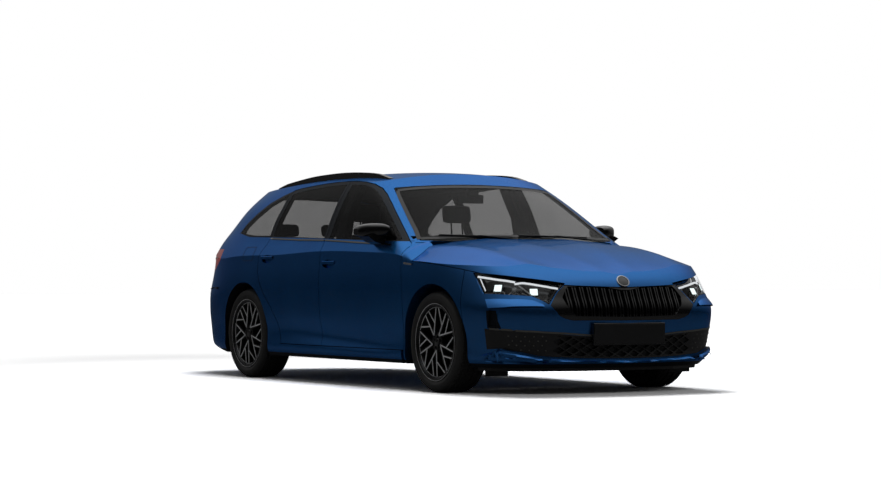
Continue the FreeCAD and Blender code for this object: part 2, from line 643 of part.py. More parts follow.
def panel_parts():
    """Everything of the outer skin that is not the fixed shell."""
    parts = {}
    lamp_space = lamp_zone(1.5)
    hatch_prism = front_prism(hatch_points, 1600, 2440).common(side_prism(gate_side_points, -1100, 1100))
    hatch_gap = front_prism(grown(hatch_points, gap), 1600, 2440)
    hatch_gap = hatch_gap.common(side_prism(grown(gate_side_points, gap), -1100, 1100))

    # Opening panels of the side
    step_arch = bar(400, rear_axle_y, tyre_radius, arch_radius + 22, (1, 0, 0), 700)
    screen_space = front_prism(grown(screen_points, gap), -1500, -150)
    front_leaf = door(front_door_points, front_glass_prism, [screen_space])
    rear_leaf = door(rear_door_points, rear_glass_prism, [step_arch])
    parts["door_front_left"] = main_solids(with_handle(front_leaf, *handle_rows[0]))
    parts["door_rear_left"] = main_solids(with_handle(rear_leaf, *handle_rows[1]))
    parts["glass_front_left"] = side_glass(grown(front_glass_points, -0.4))
    parts["glass_rear_left"] = side_glass(grown(rear_glass_points, -0.4))
    parts["quarter_glass"] = both(side_glass(grown(quarter_glass_points, -0.4)))

    # Bonnet and front wings
    bonnet_low = side_prism(bonnet_outline(-gap / 2), -1100, 1100)
    screen_clear = house_side(-8, -18, 0)
    lamp_spaces = [lamp_space, mirrored(lamp_space)]
    bonnet = skin.common(bonnet_low).cut(screen_clear)
    for tool in lamp_spaces:
        bonnet = bonnet.cut(tool)
    parts["bonnet"] = main_solids(bonnet, 20000)
    above = side_prism(bonnet_outline(gap / 2), -1100, 1100)
    door_space = side_prism(swollen(front_door_points), 500, 1100)
    wing_zone = side_prism(
        [(-1785, 880), (-1785, 560), (-1800, 480), (-1800, 150), (-1085, 150), (-1085, 256), (-1050, 258),
         (-1050, 946), (-1100, 946), (-1100, 880)], 500, 1100
    )
    wing = skin_side.common(wing_zone).cut(above).cut(door_space)
    for tool in arches:
        wing = wing.cut(tool)
    parts["front_wing_left"] = main_solids(wing.cut(lamp_space), 20000)

    # Front bumper, grille, intake and lamps
    bumper_zone = side_prism(
        [(-1790, 880), (-1790, 560), (-1805, 480), (-1805, 100), (-2420, 100), (-2420, 880)], -1100, 1100
    )
    bumper = skin.common(bumper_zone).cut(above)
    grille_space = front_prism(grown(grille_points, 1), -2420, -2150)
    intake_space = front_prism(intake_points, -2420, -1990)
    for tool in arch_tools + lamp_spaces + [grille_space, intake_space]:
        bumper = bumper.cut(tool)
    slot = front_prism(slot_points, -2420, -1990).cut(moved(nose_half, -6, 12, 0))
    bumper = bumper.cut(slot).cut(mirrored(slot))
    blade = front_prism(wing_blade_points, -2420, -1960).common(moved(nose_half, 12, -16, 0)).cut(panel_inner)
    blade = blade.common(box(500, body_half_width, -2420, -1840, 150, 400))
    for tool in arches:
        blade = blade.cut(tool)
    parts["front_bumper"] = main_solids(joined([bumper, blade, mirrored(blade)]), 20000)
    parts["grille"] = grille_piece(above)
    lower = lattice_piece().cut(blade).cut(mirrored(blade))
    for tool in arch_tools:
        lower = lower.cut(tool)
    tray = even([
        (60, -2272), (400, -2240), (640, -2138), (775, -1958), (795, -1850), (440, -1850), (440, -1330),
        (60, -1330),
    ])
    flaps = both(box(610, 770, -1905, -1893, 116, 160))
    tray = joined([plan_prism(tray, 152, underside_z), flaps])
    parts["lower_grille"] = Part.makeCompound([main_solids(lower, 20000), tray])
    lamp_pieces(parts, above, front_prism(grown(grille_points, 2), -2420, -2150))

    # Rear bumper and tailgate
    rear_zone = side_prism(
        [(1640, 100), (1640, 500), (1660, 640), (2420, 640), (2420, 100)], -1100, 1100
    )
    rear_bumper = skin.common(rear_zone).cut(hatch_gap)
    for tool in arch_tools:
        rear_bumper = rear_bumper.cut(tool)
    parts["rear_bumper"] = main_solids(rear_bumper, 20000)
    hatch_glass_prism = front_prism(hatch_glass_points, 1700, 2440)
    hatch_lamp = front_prism(hatch_lamp_points, 2000, 2440)
    gate = outer.cut(cabin).common(hatch_prism).cut(hatch_glass_prism)
    lamps_gate = both(main_solids(halves_of(gate.common(hatch_lamp).common(skin))))
    tail_block = outer.common(box(-500, 500, 1900, 2420, 500, 900))
    plate_well = box(-270, 270, 2200, 2440, 640, 780).cut(moved(tail_block, 0, -12, 0))
    gate = gate.cut(grown_lamp(hatch_lamp_points)).cut(plate_well)
    for trim in (side_prism(gate_trim_low, 610, 700), side_prism(gate_trim_high, 594, 700)):
        gate = gate.cut(trim).cut(mirrored(trim))
    parts["tailgate"] = main_solids(gate, 20000)
    parts["tailgate_lamps"] = lamps_gate
    pane = outer.common(front_prism(grown(hatch_glass_points, -0.4), 1700, 2440))
    parts["tailgate_glass"] = main_solids(pane.cut(house_side(3, 3, 7)), 20000)
    tail_lamp = side_prism(tail_lamp_side, 500, 1100).cut(hatch_gap)
    parts["tail_lamps"] = both(main_solids(skin_side.common(tail_lamp)))
    return parts


def grown_lamp(points):
    return both(front_prism(grown(points, 0.4), 2000, 2440))


def arm_plan(side, spread=0.0):
    """Lower arm of one front corner, seen from above."""
    ring = [
        (440, front_axle_y + 60 - spread), (440, front_axle_y + 190 + spread),
        (690 + spread, front_axle_y + 28 + spread), (712 + spread, front_axle_y),
        (690 + spread, front_axle_y - 28 - spread),
    ]
    return [(side * x, y) for x, y in ring]


def service_holes():
    """Openings in the shell for the lower arms, the rear stub axles and the exhaust."""
    holes = [box(100, 180, -1100, -990, 130, 240)]
    for side in (-1, 1):
        holes.append(plan_prism(arm_plan(side, 8), 195, 232))
        holes.append(bar(side * 620 - 30, rear_axle_y, tyre_radius, 48, (1, 0, 0), 60))
    return holes


def shell_parts(parts):
    """Fixed body: roof, pillars, sills, quarters, firewall, wheel housings and the nose frame."""
    shell = outer.cut(cabin)
    shell = shell.cut(box(-1100, 1100, -2420, -1088, 80, 1100))
    shell = shell.cut(side_prism(bonnet_outline(gap / 2), -1100, 1100))
    shell = shell.cut(skin.common(box(-1100, 1100, -1100, -1050, 100, 950)))
    shell = shell.cut(box(-700, 700, -1100, -1040, 330, 900))
    shell = shell.cut(box(-760, 760, -1000, heel_y - 30, 130, floor_z - 32))
    shell = shell.cut(box(-760, 760, heel_y - 31, 2150, 130, rear_floor_z - 30))
    housings = joined(liners).common(halves_of(panel_inner)).common(box(400, 1000, -1900, 1650, 172, 800))
    housings = joined([housings.common(box(400, 1000, -1900, -1060, 172, 800)),
                       housings.common(box(400, 1000, 800, 1650, 172, 800))])
    shell = joined([shell, housings, mirrored(housings)])
    doors = side_prism(swollen(front_door_points), 500, 1100)
    doors = doors.fuse(side_prism(swollen(rear_door_points), 500, 1100))
    doors = doors.cut(moved(lining_low, -gap + 1, 0, 0)).cut(moved(house_inner, -gap + 1, 0, 0))
    for tool in [doors, mirrored(doors), quarter_prism, mirrored(quarter_prism)]:
        shell = shell.cut(tool)
    for tool in arch_tools:
        shell = shell.cut(tool)
    for tool in service_holes():
        shell = shell.cut(tool)
    shell = shell.cut(front_prism(screen_points, -1500, -150))
    gate_space = front_prism(grown(hatch_points, gap), 1600, 2420)
    shell = shell.cut(gate_space.common(side_prism(grown(gate_side_points, gap), -1100, 1100)))
    relief = front_prism(gate_relief_points, 1800, 2200)
    shell = shell.cut(relief).cut(mirrored(relief))
    rear_zone = side_prism(
        [(1640, 80), (1640, 500), (1660, 645), (2420, 645), (2420, 80)], -1100, 1100
    ).cut(panel_inner.common(box(-1100, 1100, 1640, 2420, 235, 1000)))
    shell = shell.cut(rear_zone)
    lamp = side_prism(grown(tail_lamp_side, 0.4), 480, 1100).common(lamp_layer)
    shell = shell.cut(lamp).cut(mirrored(lamp))
    frame = []
    for side in (-1, 1):
        frame.append(box(*sorted((side * 400, side * 466)), -2180, -1040, 380, 470))
        frame.append(box(*sorted((side * 466, side * 640)), front_axle_y - 60, front_axle_y + 60, 690, 730))
    frame.append(box(-500, 500, -2190, -2140, 380, 600))
    pillar = front_prism(pillar_points, -15, 100)
    shell = joined([shell, pillar, mirrored(pillar)] + frame)
    parts["body_shell"] = main_solids(shell)


def spoke(start, end, start_width, end_width, x0, x1):
    """Flat bar between two (turn, radius) points of the wheel face, turns counted from the top."""
    ends = []
    for turn, radius in (start, end):
        angle = math.radians(turn)
        ends.append(Vector(0, -radius * math.sin(angle), radius * math.cos(angle)))
    across = (ends[1] - ends[0]).normalize().cross(Vector(1, 0, 0))
    sides = [(0, -start_width), (1, -end_width), (1, end_width), (0, start_width)]
    ring = [ends[n] + across * (width / 2) + Vector(x0, 0, 0) for n, width in sides]
    return Part.Face(Part.makePolygon(ring + ring[:1])).extrude(Vector(x1 - x0, 0, 0))


def wheel_spokes():
    """Five pairs of long arms from one foot, each with a short branch to the rim."""
    reach = 216.0
    pieces = []
    for n in range(spoke_pairs):
        foot = (36 + 360.0 / spoke_pairs * n, 46)
        for lean in (-3, 35):
            tip = (foot[0] + lean, reach)
            pieces.append(spoke(foot, tip, 25, 17, 62, 94))
            middle = (math.radians(foot[0]), math.radians(tip[0]))
            y = 0.44 * reach * math.sin(middle[1]) + 0.56 * foot[1] * math.sin(middle[0])
            z = 0.44 * reach * math.cos(middle[1]) + 0.56 * foot[1] * math.cos(middle[0])
            fork = (math.degrees(math.atan2(y, z)), math.hypot(y, z))
            pieces.append(spoke(fork, (tip[0] - 26, reach), 15, 15, 68, 93))
    return pieces


def rolling(parts):
    """Tyres and rims at the four corners."""
    half = tyre_width / 2
    section = [
        (-98, bead_radius), (-99, 247), (-half, 270), (-110, 297), (-98, 312), (-80, tyre_radius),
        (80, tyre_radius), (98, 312), (110, 297), (half, 270), (99, 247), (98, bead_radius),
        (86, bead_radius), (88, 250), (98, 272), (92, 296), (74, 306), (-74, 306), (-92, 296), (-98, 272),
        (-88, 250), (-86, bead_radius),
    ]
    tyre = turned(section)
    rim = turned([
        (-99.6, bead_radius), (-84, bead_radius), (-50, 212), (40, 208), (70, 220), (84, bead_radius),
        (99.6, bead_radius), (99.6, 238), (105, flange_radius), (107, 238), (104, 226), (86, 218),
        (70, 210), (40, 198), (-50, 202), (-84, 218), (-104, 222), (-107, 238), (-105, flange_radius),
        (-99.6, 238),
    ])
    spokes = wheel_spokes()
    hub = bar(20, 0, 0, 62, (1, 0, 0), 68)
    disc = bar(-18, 0, 0, 156, (1, 0, 0), 24)
    hat = bar(-18, 0, 0, 84, (1, 0, 0), 60)
    rim = joined([rim, hub, disc, hat] + spokes).cut(bar(-30, 0, 0, spindle_radius + 0.3, (1, 0, 0), 92))
    places = {
        "front_left": (track / 2, front_axle_y), "rear_left": (track / 2, rear_axle_y),
    }
    for name, (x, y) in places.items():
        for kind, shape in (("tyre", tyre), ("rim", rim)):
            at = moved(shape, x, y, tyre_radius)
            parts[kind + "_" + name] = at
            parts[kind + "_" + name.replace("left", "right")] = mirrored(at)


def running_gear(parts):
    x = track / 2
    z = tyre_radius
    hub = bar(x - 150, front_axle_y, z, 44, (1, 0, 0), 122)
    spindle = bar(x - 40, front_axle_y, z, spindle_radius, (1, 0, 0), 100)
    upright = box(x - 160, x - 84, front_axle_y - 40, front_axle_y + 40, z - 40, z + 150)
    foot = box(x - 150, x - 50, front_axle_y - 36, front_axle_y + 36, z - 90, z - 30)
    strut = bar(x - 158, front_axle_y, z + 120, 24, (0, 0, 1), 210)
    caliper = box(x - 50, x + 30, front_axle_y - 205, front_axle_y - 100, z - 60, z + 60)
    caliper = caliper.common(bar(x - 60, front_axle_y, z, 190, (1, 0, 0), 120))
    bridge = box(x - 100, x - 24, front_axle_y - 130, front_axle_y - 20, z - 30, z + 30)
    knuckle = joined([hub, upright, foot, strut, caliper, bridge])
    knuckle = knuckle.cut(bar(x - 24, front_axle_y, z, 163, (1, 0, 0), 36))
    knuckle = knuckle.cut(bar(steer_axis_x, front_axle_y, z - 100, 12.3, (0, 0, 1), 50)).fuse(spindle)
    parts["knuckle_left"] = main_solids(knuckle)
    parts["knuckle_right"] = mirrored(parts["knuckle_left"])
    pieces = [bar(-600, rear_axle_y - 90, z - 50, 34, (1, 0, 0), 1200)]
    for side in (-1, 1):
        near = 540 if side > 0 else -600
        stub_x = 590 if side > 0 else -(x - 28)
        tip_x = 590 if side > 0 else -(x + 60)
        pieces.append(box(near, near + 60, rear_axle_y - 370, rear_axle_y + 60, z - 95, z - 25))
        pieces.append(box(near, near + 60, rear_axle_y - 50, rear_axle_y + 50, z - 95, z + 45))
        pieces.append(bar(stub_x, rear_axle_y, z, 40, (1, 0, 0), x - 28 - 590))
        pieces.append(bar(tip_x, rear_axle_y, z, spindle_radius, (1, 0, 0), x + 60 - 590))
        pieces.append(box(near, near + 60, rear_axle_y - 370, rear_axle_y - 320, z - 95, rear_floor_z - 30))
    parts["rear_axle"] = main_solids(joined(pieces))
    pieces = [box(-460, 460, front_axle_y + 60, front_axle_y + 200, 205, 250)]
    for side in (-1, 1):
        pieces.append(box(*sorted((side * 410, side * 456)), front_axle_y + 100, front_axle_y + 160, 240, 380))
        pieces.append(plan_prism(arm_plan(side), 205, 222))
        pieces.append(bar(side * steer_axis_x, front_axle_y, 215, 12, (0, 0, 1), 42))
    parts["front_subframe"] = main_solids(joined(pieces))
    parts["engine_block"] = box(-330, 300, -1990, -1520, 290, 700)
    pipe = bar(140, -1240, 200, 24, (0, 1, 0), 3050)
    silencer = box(-300, 300, 1760, 2010, 190, 300)
    parts["exhaust"] = main_solids(joined([pipe, silencer]))


def rounded_box(x0, x1, y0, y1, z0, z1, radius):
    solid = box(x0, x1, y0, y1, z0, z1)
    return solid.makeFillet(radius, solid.Edges)


def cabin_parts(parts):
    tight = wall_solid(door_wall + 8, 70, 62)
    floor = box(-778, 778, -1000, heel_y, floor_z, floor_z + 12).common(tight)
    tunnel = box(-100, 100, -1000, heel_y, floor_z + 12, floor_z + 130)
    rear_floor = box(-590, 590, heel_y, 2200, rear_floor_z, rear_floor_z + 12)
    heel = box(-590, 590, heel_y - 12, heel_y, floor_z + 12, rear_floor_z + 12)
    load = box(-570, 570, 1600, 2250, 560, 580)
    ledge = box(-570, 570, 1600, 1612, rear_floor_z + 12, 560)
    rear = joined([rear_floor, load, ledge]).common(tight)
    posts = both(box(695, 775, -16, 101, 200, 400))
    parts["floor_pan"] = joined([floor, tunnel, heel, rear]).cut(posts)
    seats = []
    for x in (-370, 370):
        base = rounded_box(x - 250, x + 250, -330, 200, 380, 520, 45)
        back = rounded_box(x - 240, x + 240, 0, 120, 0, 620, 50)
        back.rotate(Vector(x, 0, 0), Vector(1, 0, 0), -18)
        back.translate(Vector(0, 130, 470))
        head = rounded_box(x - 130, x + 130, 320, 410, 1090, 1250, 40)
        post = box(x - 60, x + 60, 345, 365, 1020, 1120)
        rail = box(x - 200, x + 200, -200, 150, floor_z + 12, 400)
        rail = rail.cut(box(-101, 101, -1000, 1000, 0, 600))
        seats.append(joined([base, back, head, post, rail]))
    parts["front_seats"] = Part.makeCompound(seats)
    base = rounded_box(-570, 570, 900, 1400, rear_floor_z + 12, 540, 40)
    back = rounded_box(-570, 570, 0, 110, 0, 540, 45)
    back.rotate(Vector(0, 0, 0), Vector(1, 0, 0), -22)
    back.translate(Vector(0, 1290, 500))
    heads = [rounded_box(x - 120, x + 120, 1500, 1580, 1000, 1130, 35) for x in (-400, 0, 400)]
    posts = [box(x - 50, x + 50, 1520, 1540, 940, 1040) for x in (-400, 0, 400)]
    parts["rear_seat"] = joined([base, back] + heads + posts)
    dash = side_prism(dash_points, -700, 700)
    console = box(-98, 98, -660, 150, floor_z + 130, 640)
    console = console.cut(box(-200, 200, -330, 200, 560, 700))
    bore = bar(0, 0, -300, 22.3, (0, 0, 1), 290)
    bore.rotate(Vector(0, 0, 0), Vector(1, 0, 0), -66)
    bore.translate(Vector(370, -470, 860))
    parts["dashboard"] = joined([dash, console, box(-120, 120, -990, -640, 600, 660)]).cut(bore)
    wheel = Part.makeTorus(172, 15)
    spokes = [box(-165, 165, -18, 18, -10, 10), box(-18, 18, -165, 0, -10, 10)]
    hub = bar(0, 0, -22, 60, (0, 0, 1), 40)
    column = bar(0, 0, -230, 22, (0, 0, 1), 220)
    steering = joined([wheel, hub, column] + spokes)
    steering.rotate(Vector(0, 0, 0), Vector(1, 0, 0), -66)
    steering.translate(Vector(370, -470, 860))
    parts["steering_wheel"] = steering


def outside_parts(parts):
    pane = outer.common(front_prism(grown(screen_points, -0.4), -1500, -150)).common(house_side(-1, -1, -1))
    parts["windscreen"] = main_solids(pane.cut(house_side(3, 10, 3).common(roof_solid(glass_wall))))
    sections = []
    for x, y, z, half_y, half_z in mirror_rows:
        ring = []
        for side_y, side_z in ((1, 1), (1, -1), (-1, -1), (-1, 1)):
            arc = quarter(3.0, 5)
            if side_y * side_z < 0:
                arc = arc[::-1]
            for a, b in arc[:-1]:
                ring.append(Vector(x, y + side_y * a * half_y, z + side_z * b * half_z))
        curve = Part.BSplineCurve()
        curve.interpolate(Points=ring, PeriodicFlag=True)
        sections.append(Part.Wire(curve.toShape()))
    pod = Part.makeLoft(sections, True)
    stalk = front_prism(
        [(830, 940), (880, 941), (930, 955), (982, 990), (950, 1005), (830, 1005)], -790, -655
    )
    mirror = main_solids(joined([pod, stalk]).cut(outer_side))
    parts["mirror_left"] = mirror
    parts["mirror_right"] = mirrored(mirror)
    ys = [rail_rows[0][0] + (rail_rows[-1][0] - rail_rows[0][0]) * n / 24 for n in range(25)]
    roof_at = [table(roof_rows, y) - roof_drop(rail_x, y) for y in ys]
    top = [(y, z + table(rail_rows, y)) for y, z in zip(ys, roof_at)]
    low = [(y, z - 20) for y, z in zip(ys, roof_at)]
    rail = side_prism(top + low[::-1], rail_x - 17, rail_x + 17)
    parts["roof_rails"] = both(main_solids(rail.cut(outer_side)))
    return parts


def all_parts():
    parts = panel_parts()
    shell_parts(parts)
    rolling(parts)
    running_gear(parts)
    cabin_parts(parts)
    outside_parts(parts)
    for name in ("door_front", "door_rear", "glass_front", "glass_rear", "front_wing"):
        parts[name + "_right"] = mirrored(parts[name + "_left"])
    return parts


if __name__ == "__main__":
    os.makedirs("parts", exist_ok=True)
    for name, shape in all_parts().items():
        shape.exportStep("parts/%s.step" % name)
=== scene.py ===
import json
import math

import bmesh
import bpy
from mathutils import Matrix, Vector
from mathutils.bvhtree import BVHTree

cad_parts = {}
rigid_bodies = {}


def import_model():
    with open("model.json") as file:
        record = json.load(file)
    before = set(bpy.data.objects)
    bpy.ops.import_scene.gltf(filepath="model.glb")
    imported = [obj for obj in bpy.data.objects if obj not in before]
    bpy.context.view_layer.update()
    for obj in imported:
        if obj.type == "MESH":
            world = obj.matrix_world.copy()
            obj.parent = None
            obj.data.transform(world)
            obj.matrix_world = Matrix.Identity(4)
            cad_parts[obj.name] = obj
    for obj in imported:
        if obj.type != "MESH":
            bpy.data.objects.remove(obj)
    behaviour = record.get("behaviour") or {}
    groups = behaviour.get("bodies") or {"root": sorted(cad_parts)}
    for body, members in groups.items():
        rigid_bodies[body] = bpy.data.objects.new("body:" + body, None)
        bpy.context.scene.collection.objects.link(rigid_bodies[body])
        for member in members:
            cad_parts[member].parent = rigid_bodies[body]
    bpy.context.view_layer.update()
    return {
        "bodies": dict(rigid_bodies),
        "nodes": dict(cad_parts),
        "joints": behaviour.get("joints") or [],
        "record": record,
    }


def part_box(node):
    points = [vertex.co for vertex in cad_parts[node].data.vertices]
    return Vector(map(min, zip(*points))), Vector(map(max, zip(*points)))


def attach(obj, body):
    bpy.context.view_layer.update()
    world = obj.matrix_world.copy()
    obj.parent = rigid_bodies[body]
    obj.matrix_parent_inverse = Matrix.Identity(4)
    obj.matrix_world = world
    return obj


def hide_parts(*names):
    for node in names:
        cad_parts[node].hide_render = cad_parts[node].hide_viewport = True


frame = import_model()
nodes = frame["nodes"]
print("frame loaded:", len(nodes), "nodes")


# Shader helpers

class Wire:  # one socket; maths on it adds nodes
    def __init__(self, shader, socket):
        self.shader = shader
        self.socket = socket

    def worked(self, operation, first, second=0.0):
        return self.shader.node("ShaderNodeMath", {"operation": operation}, {0: first, 1: second})

    def __add__(self, other):
        return self.worked("ADD", self, other)

    def __radd__(self, other):
        return self.worked("ADD", other, self)

    def __sub__(self, other):
        return self.worked("SUBTRACT", self, other)

    def __rsub__(self, other):
        return self.worked("SUBTRACT", other, self)

    def __mul__(self, other):
        return self.worked("MULTIPLY", self, other)

    def __rmul__(self, other):
        return self.worked("MULTIPLY", other, self)

    def __truediv__(self, other):
        return self.worked("DIVIDE", self, other)

    def __pow__(self, other):
        return self.worked("POWER", self, other)

    def __gt__(self, other):
        return self.worked("GREATER_THAN", self, other)

    def __lt__(self, other):
        return self.worked("LESS_THAN", self, other)

    def __abs__(self):
        return self.worked("ABSOLUTE", self)

    def wave(self, pitch):  # 0 to 1 and back, once per pitch
        return self.worked("PINGPONG", self, pitch / 2) * (2 / pitch)


class Graph:  # the node tree of a material or a world
    def __init__(self, owner):
        owner.use_nodes = True
        self.tree = owner.node_tree
        self.tree.nodes.clear()

    def join(self, target, value):
        if isinstance(value, Wire):
            self.tree.links.new(value.socket, target)
        else:
            target.default_value = value

    def node(self, kind, settings=None, sockets=None, out=0):
        made = self.tree.nodes.new(kind)
        for name, value in (settings or {}).items():
            if name == "stops":
                ramp = made.color_ramp
                while len(ramp.elements) < len(value):
                    ramp.elements.new(0.5)
                for stop, (at, shade) in zip(ramp.elements, value):
                    stop.position = at
                    stop.color = (*shade, 1.0) if len(shade) == 3 else shade
            else:
                setattr(made, name, value)
        for name, value in (sockets or {}).items():
            self.join(made.inputs[name], value)
        return Wire(self, made.outputs[out])

    def split(self, vector):
        parts = self.node("ShaderNodeSeparateXYZ", {}, {"Vector": vector})
        return [Wire(self, parts.socket.node.outputs[n]) for n in range(3)]

    def axes(self, kind="Object"):
        return self.split(self.node("ShaderNodeTexCoord", out=kind))

    def ramp(self, factor, stops):
        return self.node("ShaderNodeValToRGB", {"stops": stops}, {"Fac": factor})


class Shader(Graph):
    def __init__(self, name, colour, **fixed):
        self.material = bpy.data.materials.new(name)
        super().__init__(self.material)
        self.surface = self.tree.nodes.new("ShaderNodeBsdfPrincipled")
        end = self.tree.nodes.new("ShaderNodeOutputMaterial")
        self.tree.links.new(self.surface.outputs[0], end.inputs["Surface"])
        self.set("Base Color", (*colour, 1.0))
        for socket, value in fixed.items():
            self.set(socket.replace("_", " "), value)

    def set(self, socket, value):
        self.join(self.surface.inputs[socket], value)

    def place(self):
        return self.node("ShaderNodeTexCoord", out="Object")

    def facing(self):
        return self.split(self.node("ShaderNodeNewGeometry", out="Normal"))

    def noise(self, scale, detail=2.0):
        return self.node("ShaderNodeTexNoise", {}, {"Vector": self.place(), "Scale": scale, "Detail": detail})

    def cells(self, scale, out):
        return self.node("ShaderNodeTexVoronoi", {}, {"Vector": self.place(), "Scale": scale}, out)

    def blend(self, factor, first, second):
        ends = [shade if isinstance(shade, Wire) else (*shade, 1.0) for shade in (first, second)]
        return self.node("ShaderNodeMix", {"data_type": "RGBA"}, {0: factor, 6: ends[0], 7: ends[1]}, 2)

    def bump(self, height, depth, strength):
        sockets = {"Height": height, "Distance": depth, "Strength": strength}
        self.set("Normal", self.node("ShaderNodeBump", {}, sockets))


# Materials

paintLook = {
    "base": (0.030, 0.165, 0.470), "deep": (0.020, 0.120, 0.370), "edge": (0.15, 0.46, 0.86, 1.0),
    "spark": (0.06, 0.24, 0.62), "black": (0.008, 0.008, 0.009), "flake": 5200.0, "sill": 0.197,
    "yStart": -1.01, "yLong": 2.52, "zStart": 0.90, "zTall": 0.50,  # the reach of the window lines below
    "windowY": (-1.03, 1.515), "windowSide": 0.5,
    "intakeZ": (0.414, 0.524), "intakeSlant": (0.32, -2.238), "intakeBack": -2.014, "intakeSide": 0.7,
}
windowLine = {  # (y, z) along the black window frames
    "low": [(-1.01, 0.957), (-0.753, 0.960), (-0.299, 0.975), (0.451, 0.995), (1.285, 1.011), (1.50, 1.040)],
    "top": [(-1.01, 0.961), (-0.841, 1.061), (-0.724, 1.133), (-0.597, 1.211), (-0.481, 1.278),
            (-0.396, 1.320), (-0.302, 1.350), (-0.19, 1.367), (0.04, 1.380), (0.25, 1.379), (0.6, 1.362),
            (0.868, 1.338), (1.012, 1.305), (1.188, 1.254), (1.344, 1.179), (1.46, 1.108), (1.51, 1.05)],
}


def lineHeight(shader, y, points):  # the height of a line drawn along the car's side
    stops = []
    for at, height in points:
        tone = (height - paintLook["zStart"]) / paintLook["zTall"]
        stops.append(((at - paintLook["yStart"]) / paintLook["yLong"], (tone, tone, tone)))
    along = (y - paintLook["yStart"]) / paintLook["yLong"]
    return shader.ramp(along, stops) * paintLook["zTall"] + paintLook["zStart"]


def makePaint():
    shader = Shader(
        "paint blue metallic", paintLook["base"], Specular_Tint=paintLook["edge"], Specular_IOR_Level=0.2,
        Coat_Roughness=0.02,
    )
    flake = shader.cells(paintLook["flake"], "Color")
    spark = shader.node("ShaderNodeSeparateColor", {}, {"Color": flake})
    body = shader.blend(shader.noise(3.0, 1.0), paintLook["deep"], paintLook["base"])
    bright = shader.blend(spark * 0.25, body, paintLook["spark"])
    x, y, z = shader.axes()
    nx, ny, nz = shader.facing()
    inward = (nx * x + ny * y * 0.3 + nz * (z - 0.7)) < -0.05
    above = z > lineHeight(shader, y, windowLine["low"])
    below = z < lineHeight(shader, y, windowLine["top"])
    first, last = paintLook["windowY"]
    windows = above * below * (y < last) * (y > first) * (abs(x) > paintLook["windowSide"])
    low, high = paintLook["intakeZ"]
    slope, start = paintLook["intakeSlant"]
    intake = (z > low) * (z < high) * (y > z * slope + start)
    intake = intake * (y < paintLook["intakeBack"]) * (abs(x) > paintLook["intakeSide"])
    total = inward + windows + intake + (z < paintLook["sill"])
    black = total.worked("MINIMUM", total, 1.0)  # 1 where the panel is black instead of blue
    shader.set("Base Color", shader.blend(black, bright, paintLook["black"]))
    shader.set("Metallic", 0.92 - black * 0.92)
    shader.set("Roughness", 0.25 + spark * 0.08 + black * 0.25)
    shader.set("Coat Weight", 0.30 - black * 0.22)
    return shader.material


def shaded(colour, share):
    return tuple(min(1.0, tone * share) for tone in colour)


def ribs(shader, pitch):  # a fine grid of ribs, as inside a lamp
    across, up = shader.axes()[::2]
    return across.wave(pitch) * 0.5 + up.wave(pitch) * 0.5


def makePlain(name, colour, rough, grain, depth, metal=0.0, tint=0.25, **fixed):
    shader = Shader(name, colour, Metallic=metal, **fixed)
    fine = shader.noise(grain, 3.0)
    cloud = shader.noise(9.0)
    shader.set("Base Color", shader.blend(cloud, shaded(colour, 1 - tint), shaded(colour, 1 + tint)))
    shader.set("Roughness", rough - 0.06 + fine * 0.12)
    shader.bump(fine, depth, 0.4)
    return shader.material


def makeGlass(name, colour, clear):
    shader = Shader(name, colour, IOR=1.5, Specular_IOR_Level=0.10)
    haze = shader.noise(2.2)
    shader.set("Roughness", 0.01 + haze * 0.02)
    shader.set("Alpha", (1.0 - clear) + haze * 0.03)
    return shader.material


def makeLens(name, colour, clear, glow=None, strength=0.0):
    shader = Shader(name, colour, IOR=1.5, Coat_Weight=0.25, Coat_Roughness=0.02)
    rib = ribs(shader, 0.012)
    shader.set("Base Color", shader.blend(rib, shaded(colour, 0.6), colour))
    shader.set("Roughness", 0.05 + rib * 0.12)
    shader.set("Alpha", (1.0 - clear) + rib * 0.04)
    if glow:
        shader.set("Emission Color", shader.blend(rib, glow, shaded(glow, 0.7)))
        shader.set("Emission Strength", strength)
    return shader.material


def makeCloth(name, colour, pitch):
    shader = Shader(name, colour, Sheen_Weight=0.3)
    x, y, z = shader.axes()
    weave = x.wave(pitch) * z.wave(pitch) + y.wave(pitch) * 0.5
    shader.set("Base Color", shader.blend(weave, shaded(colour, 0.6), colour))
    shader.set("Roughness", 0.78 + weave * 0.12)
    shader.bump(weave, 0.0006, 0.6)
    return shader.material


paint = makePaint()
blackGloss = makePlain("gloss black trim", (0.006, 0.006, 0.007), 0.10, 60, 0.00005, Coat_Weight=0.6)
blackPlastic = makePlain("grained black plastic", (0.012, 0.012, 0.013), 0.48, 900, 0.0003)
underTray = makePlain("matt underbody tray", (0.020, 0.020, 0.021), 0.75, 220, 0.0008)
rubber = makePlain("tyre rubber", (0.016, 0.016, 0.016), 0.72, 700, 0.0004)
rimMetal = makePlain("dark alloy rim", (0.030, 0.031, 0.033), 0.28, 500, 0.00008, 0.85)
castMetal = makePlain("cast aluminium", (0.42, 0.42, 0.43), 0.45, 260, 0.0006, 0.9)
steel = makePlain("coated steel", (0.045, 0.045, 0.048), 0.50, 320, 0.0003, 0.7)
exhaustSteel = makePlain("exhaust steel", (0.38, 0.36, 0.34), 0.35, 90, 0.0002, 1.0)
clearGlass = makeGlass("clear glass", (0.004, 0.004, 0.004), 0.60)
darkGlass = makeGlass("privacy glass", (0.004, 0.004, 0.004), 0.60)
lampLens = makeLens("headlamp lens", (0.020, 0.022, 0.024), 0.86)
redLens = makeLens("tail lamp lens", (0.50, 0.008, 0.010), 0.02, (0.30, 0.004, 0.005), 0.35)
seatCloth = makeCloth("seat cloth", (0.030, 0.030, 0.032), 0.004)
leather = makePlain("rim leather", (0.016, 0.016, 0.017), 0.5, 600, 0.0004)

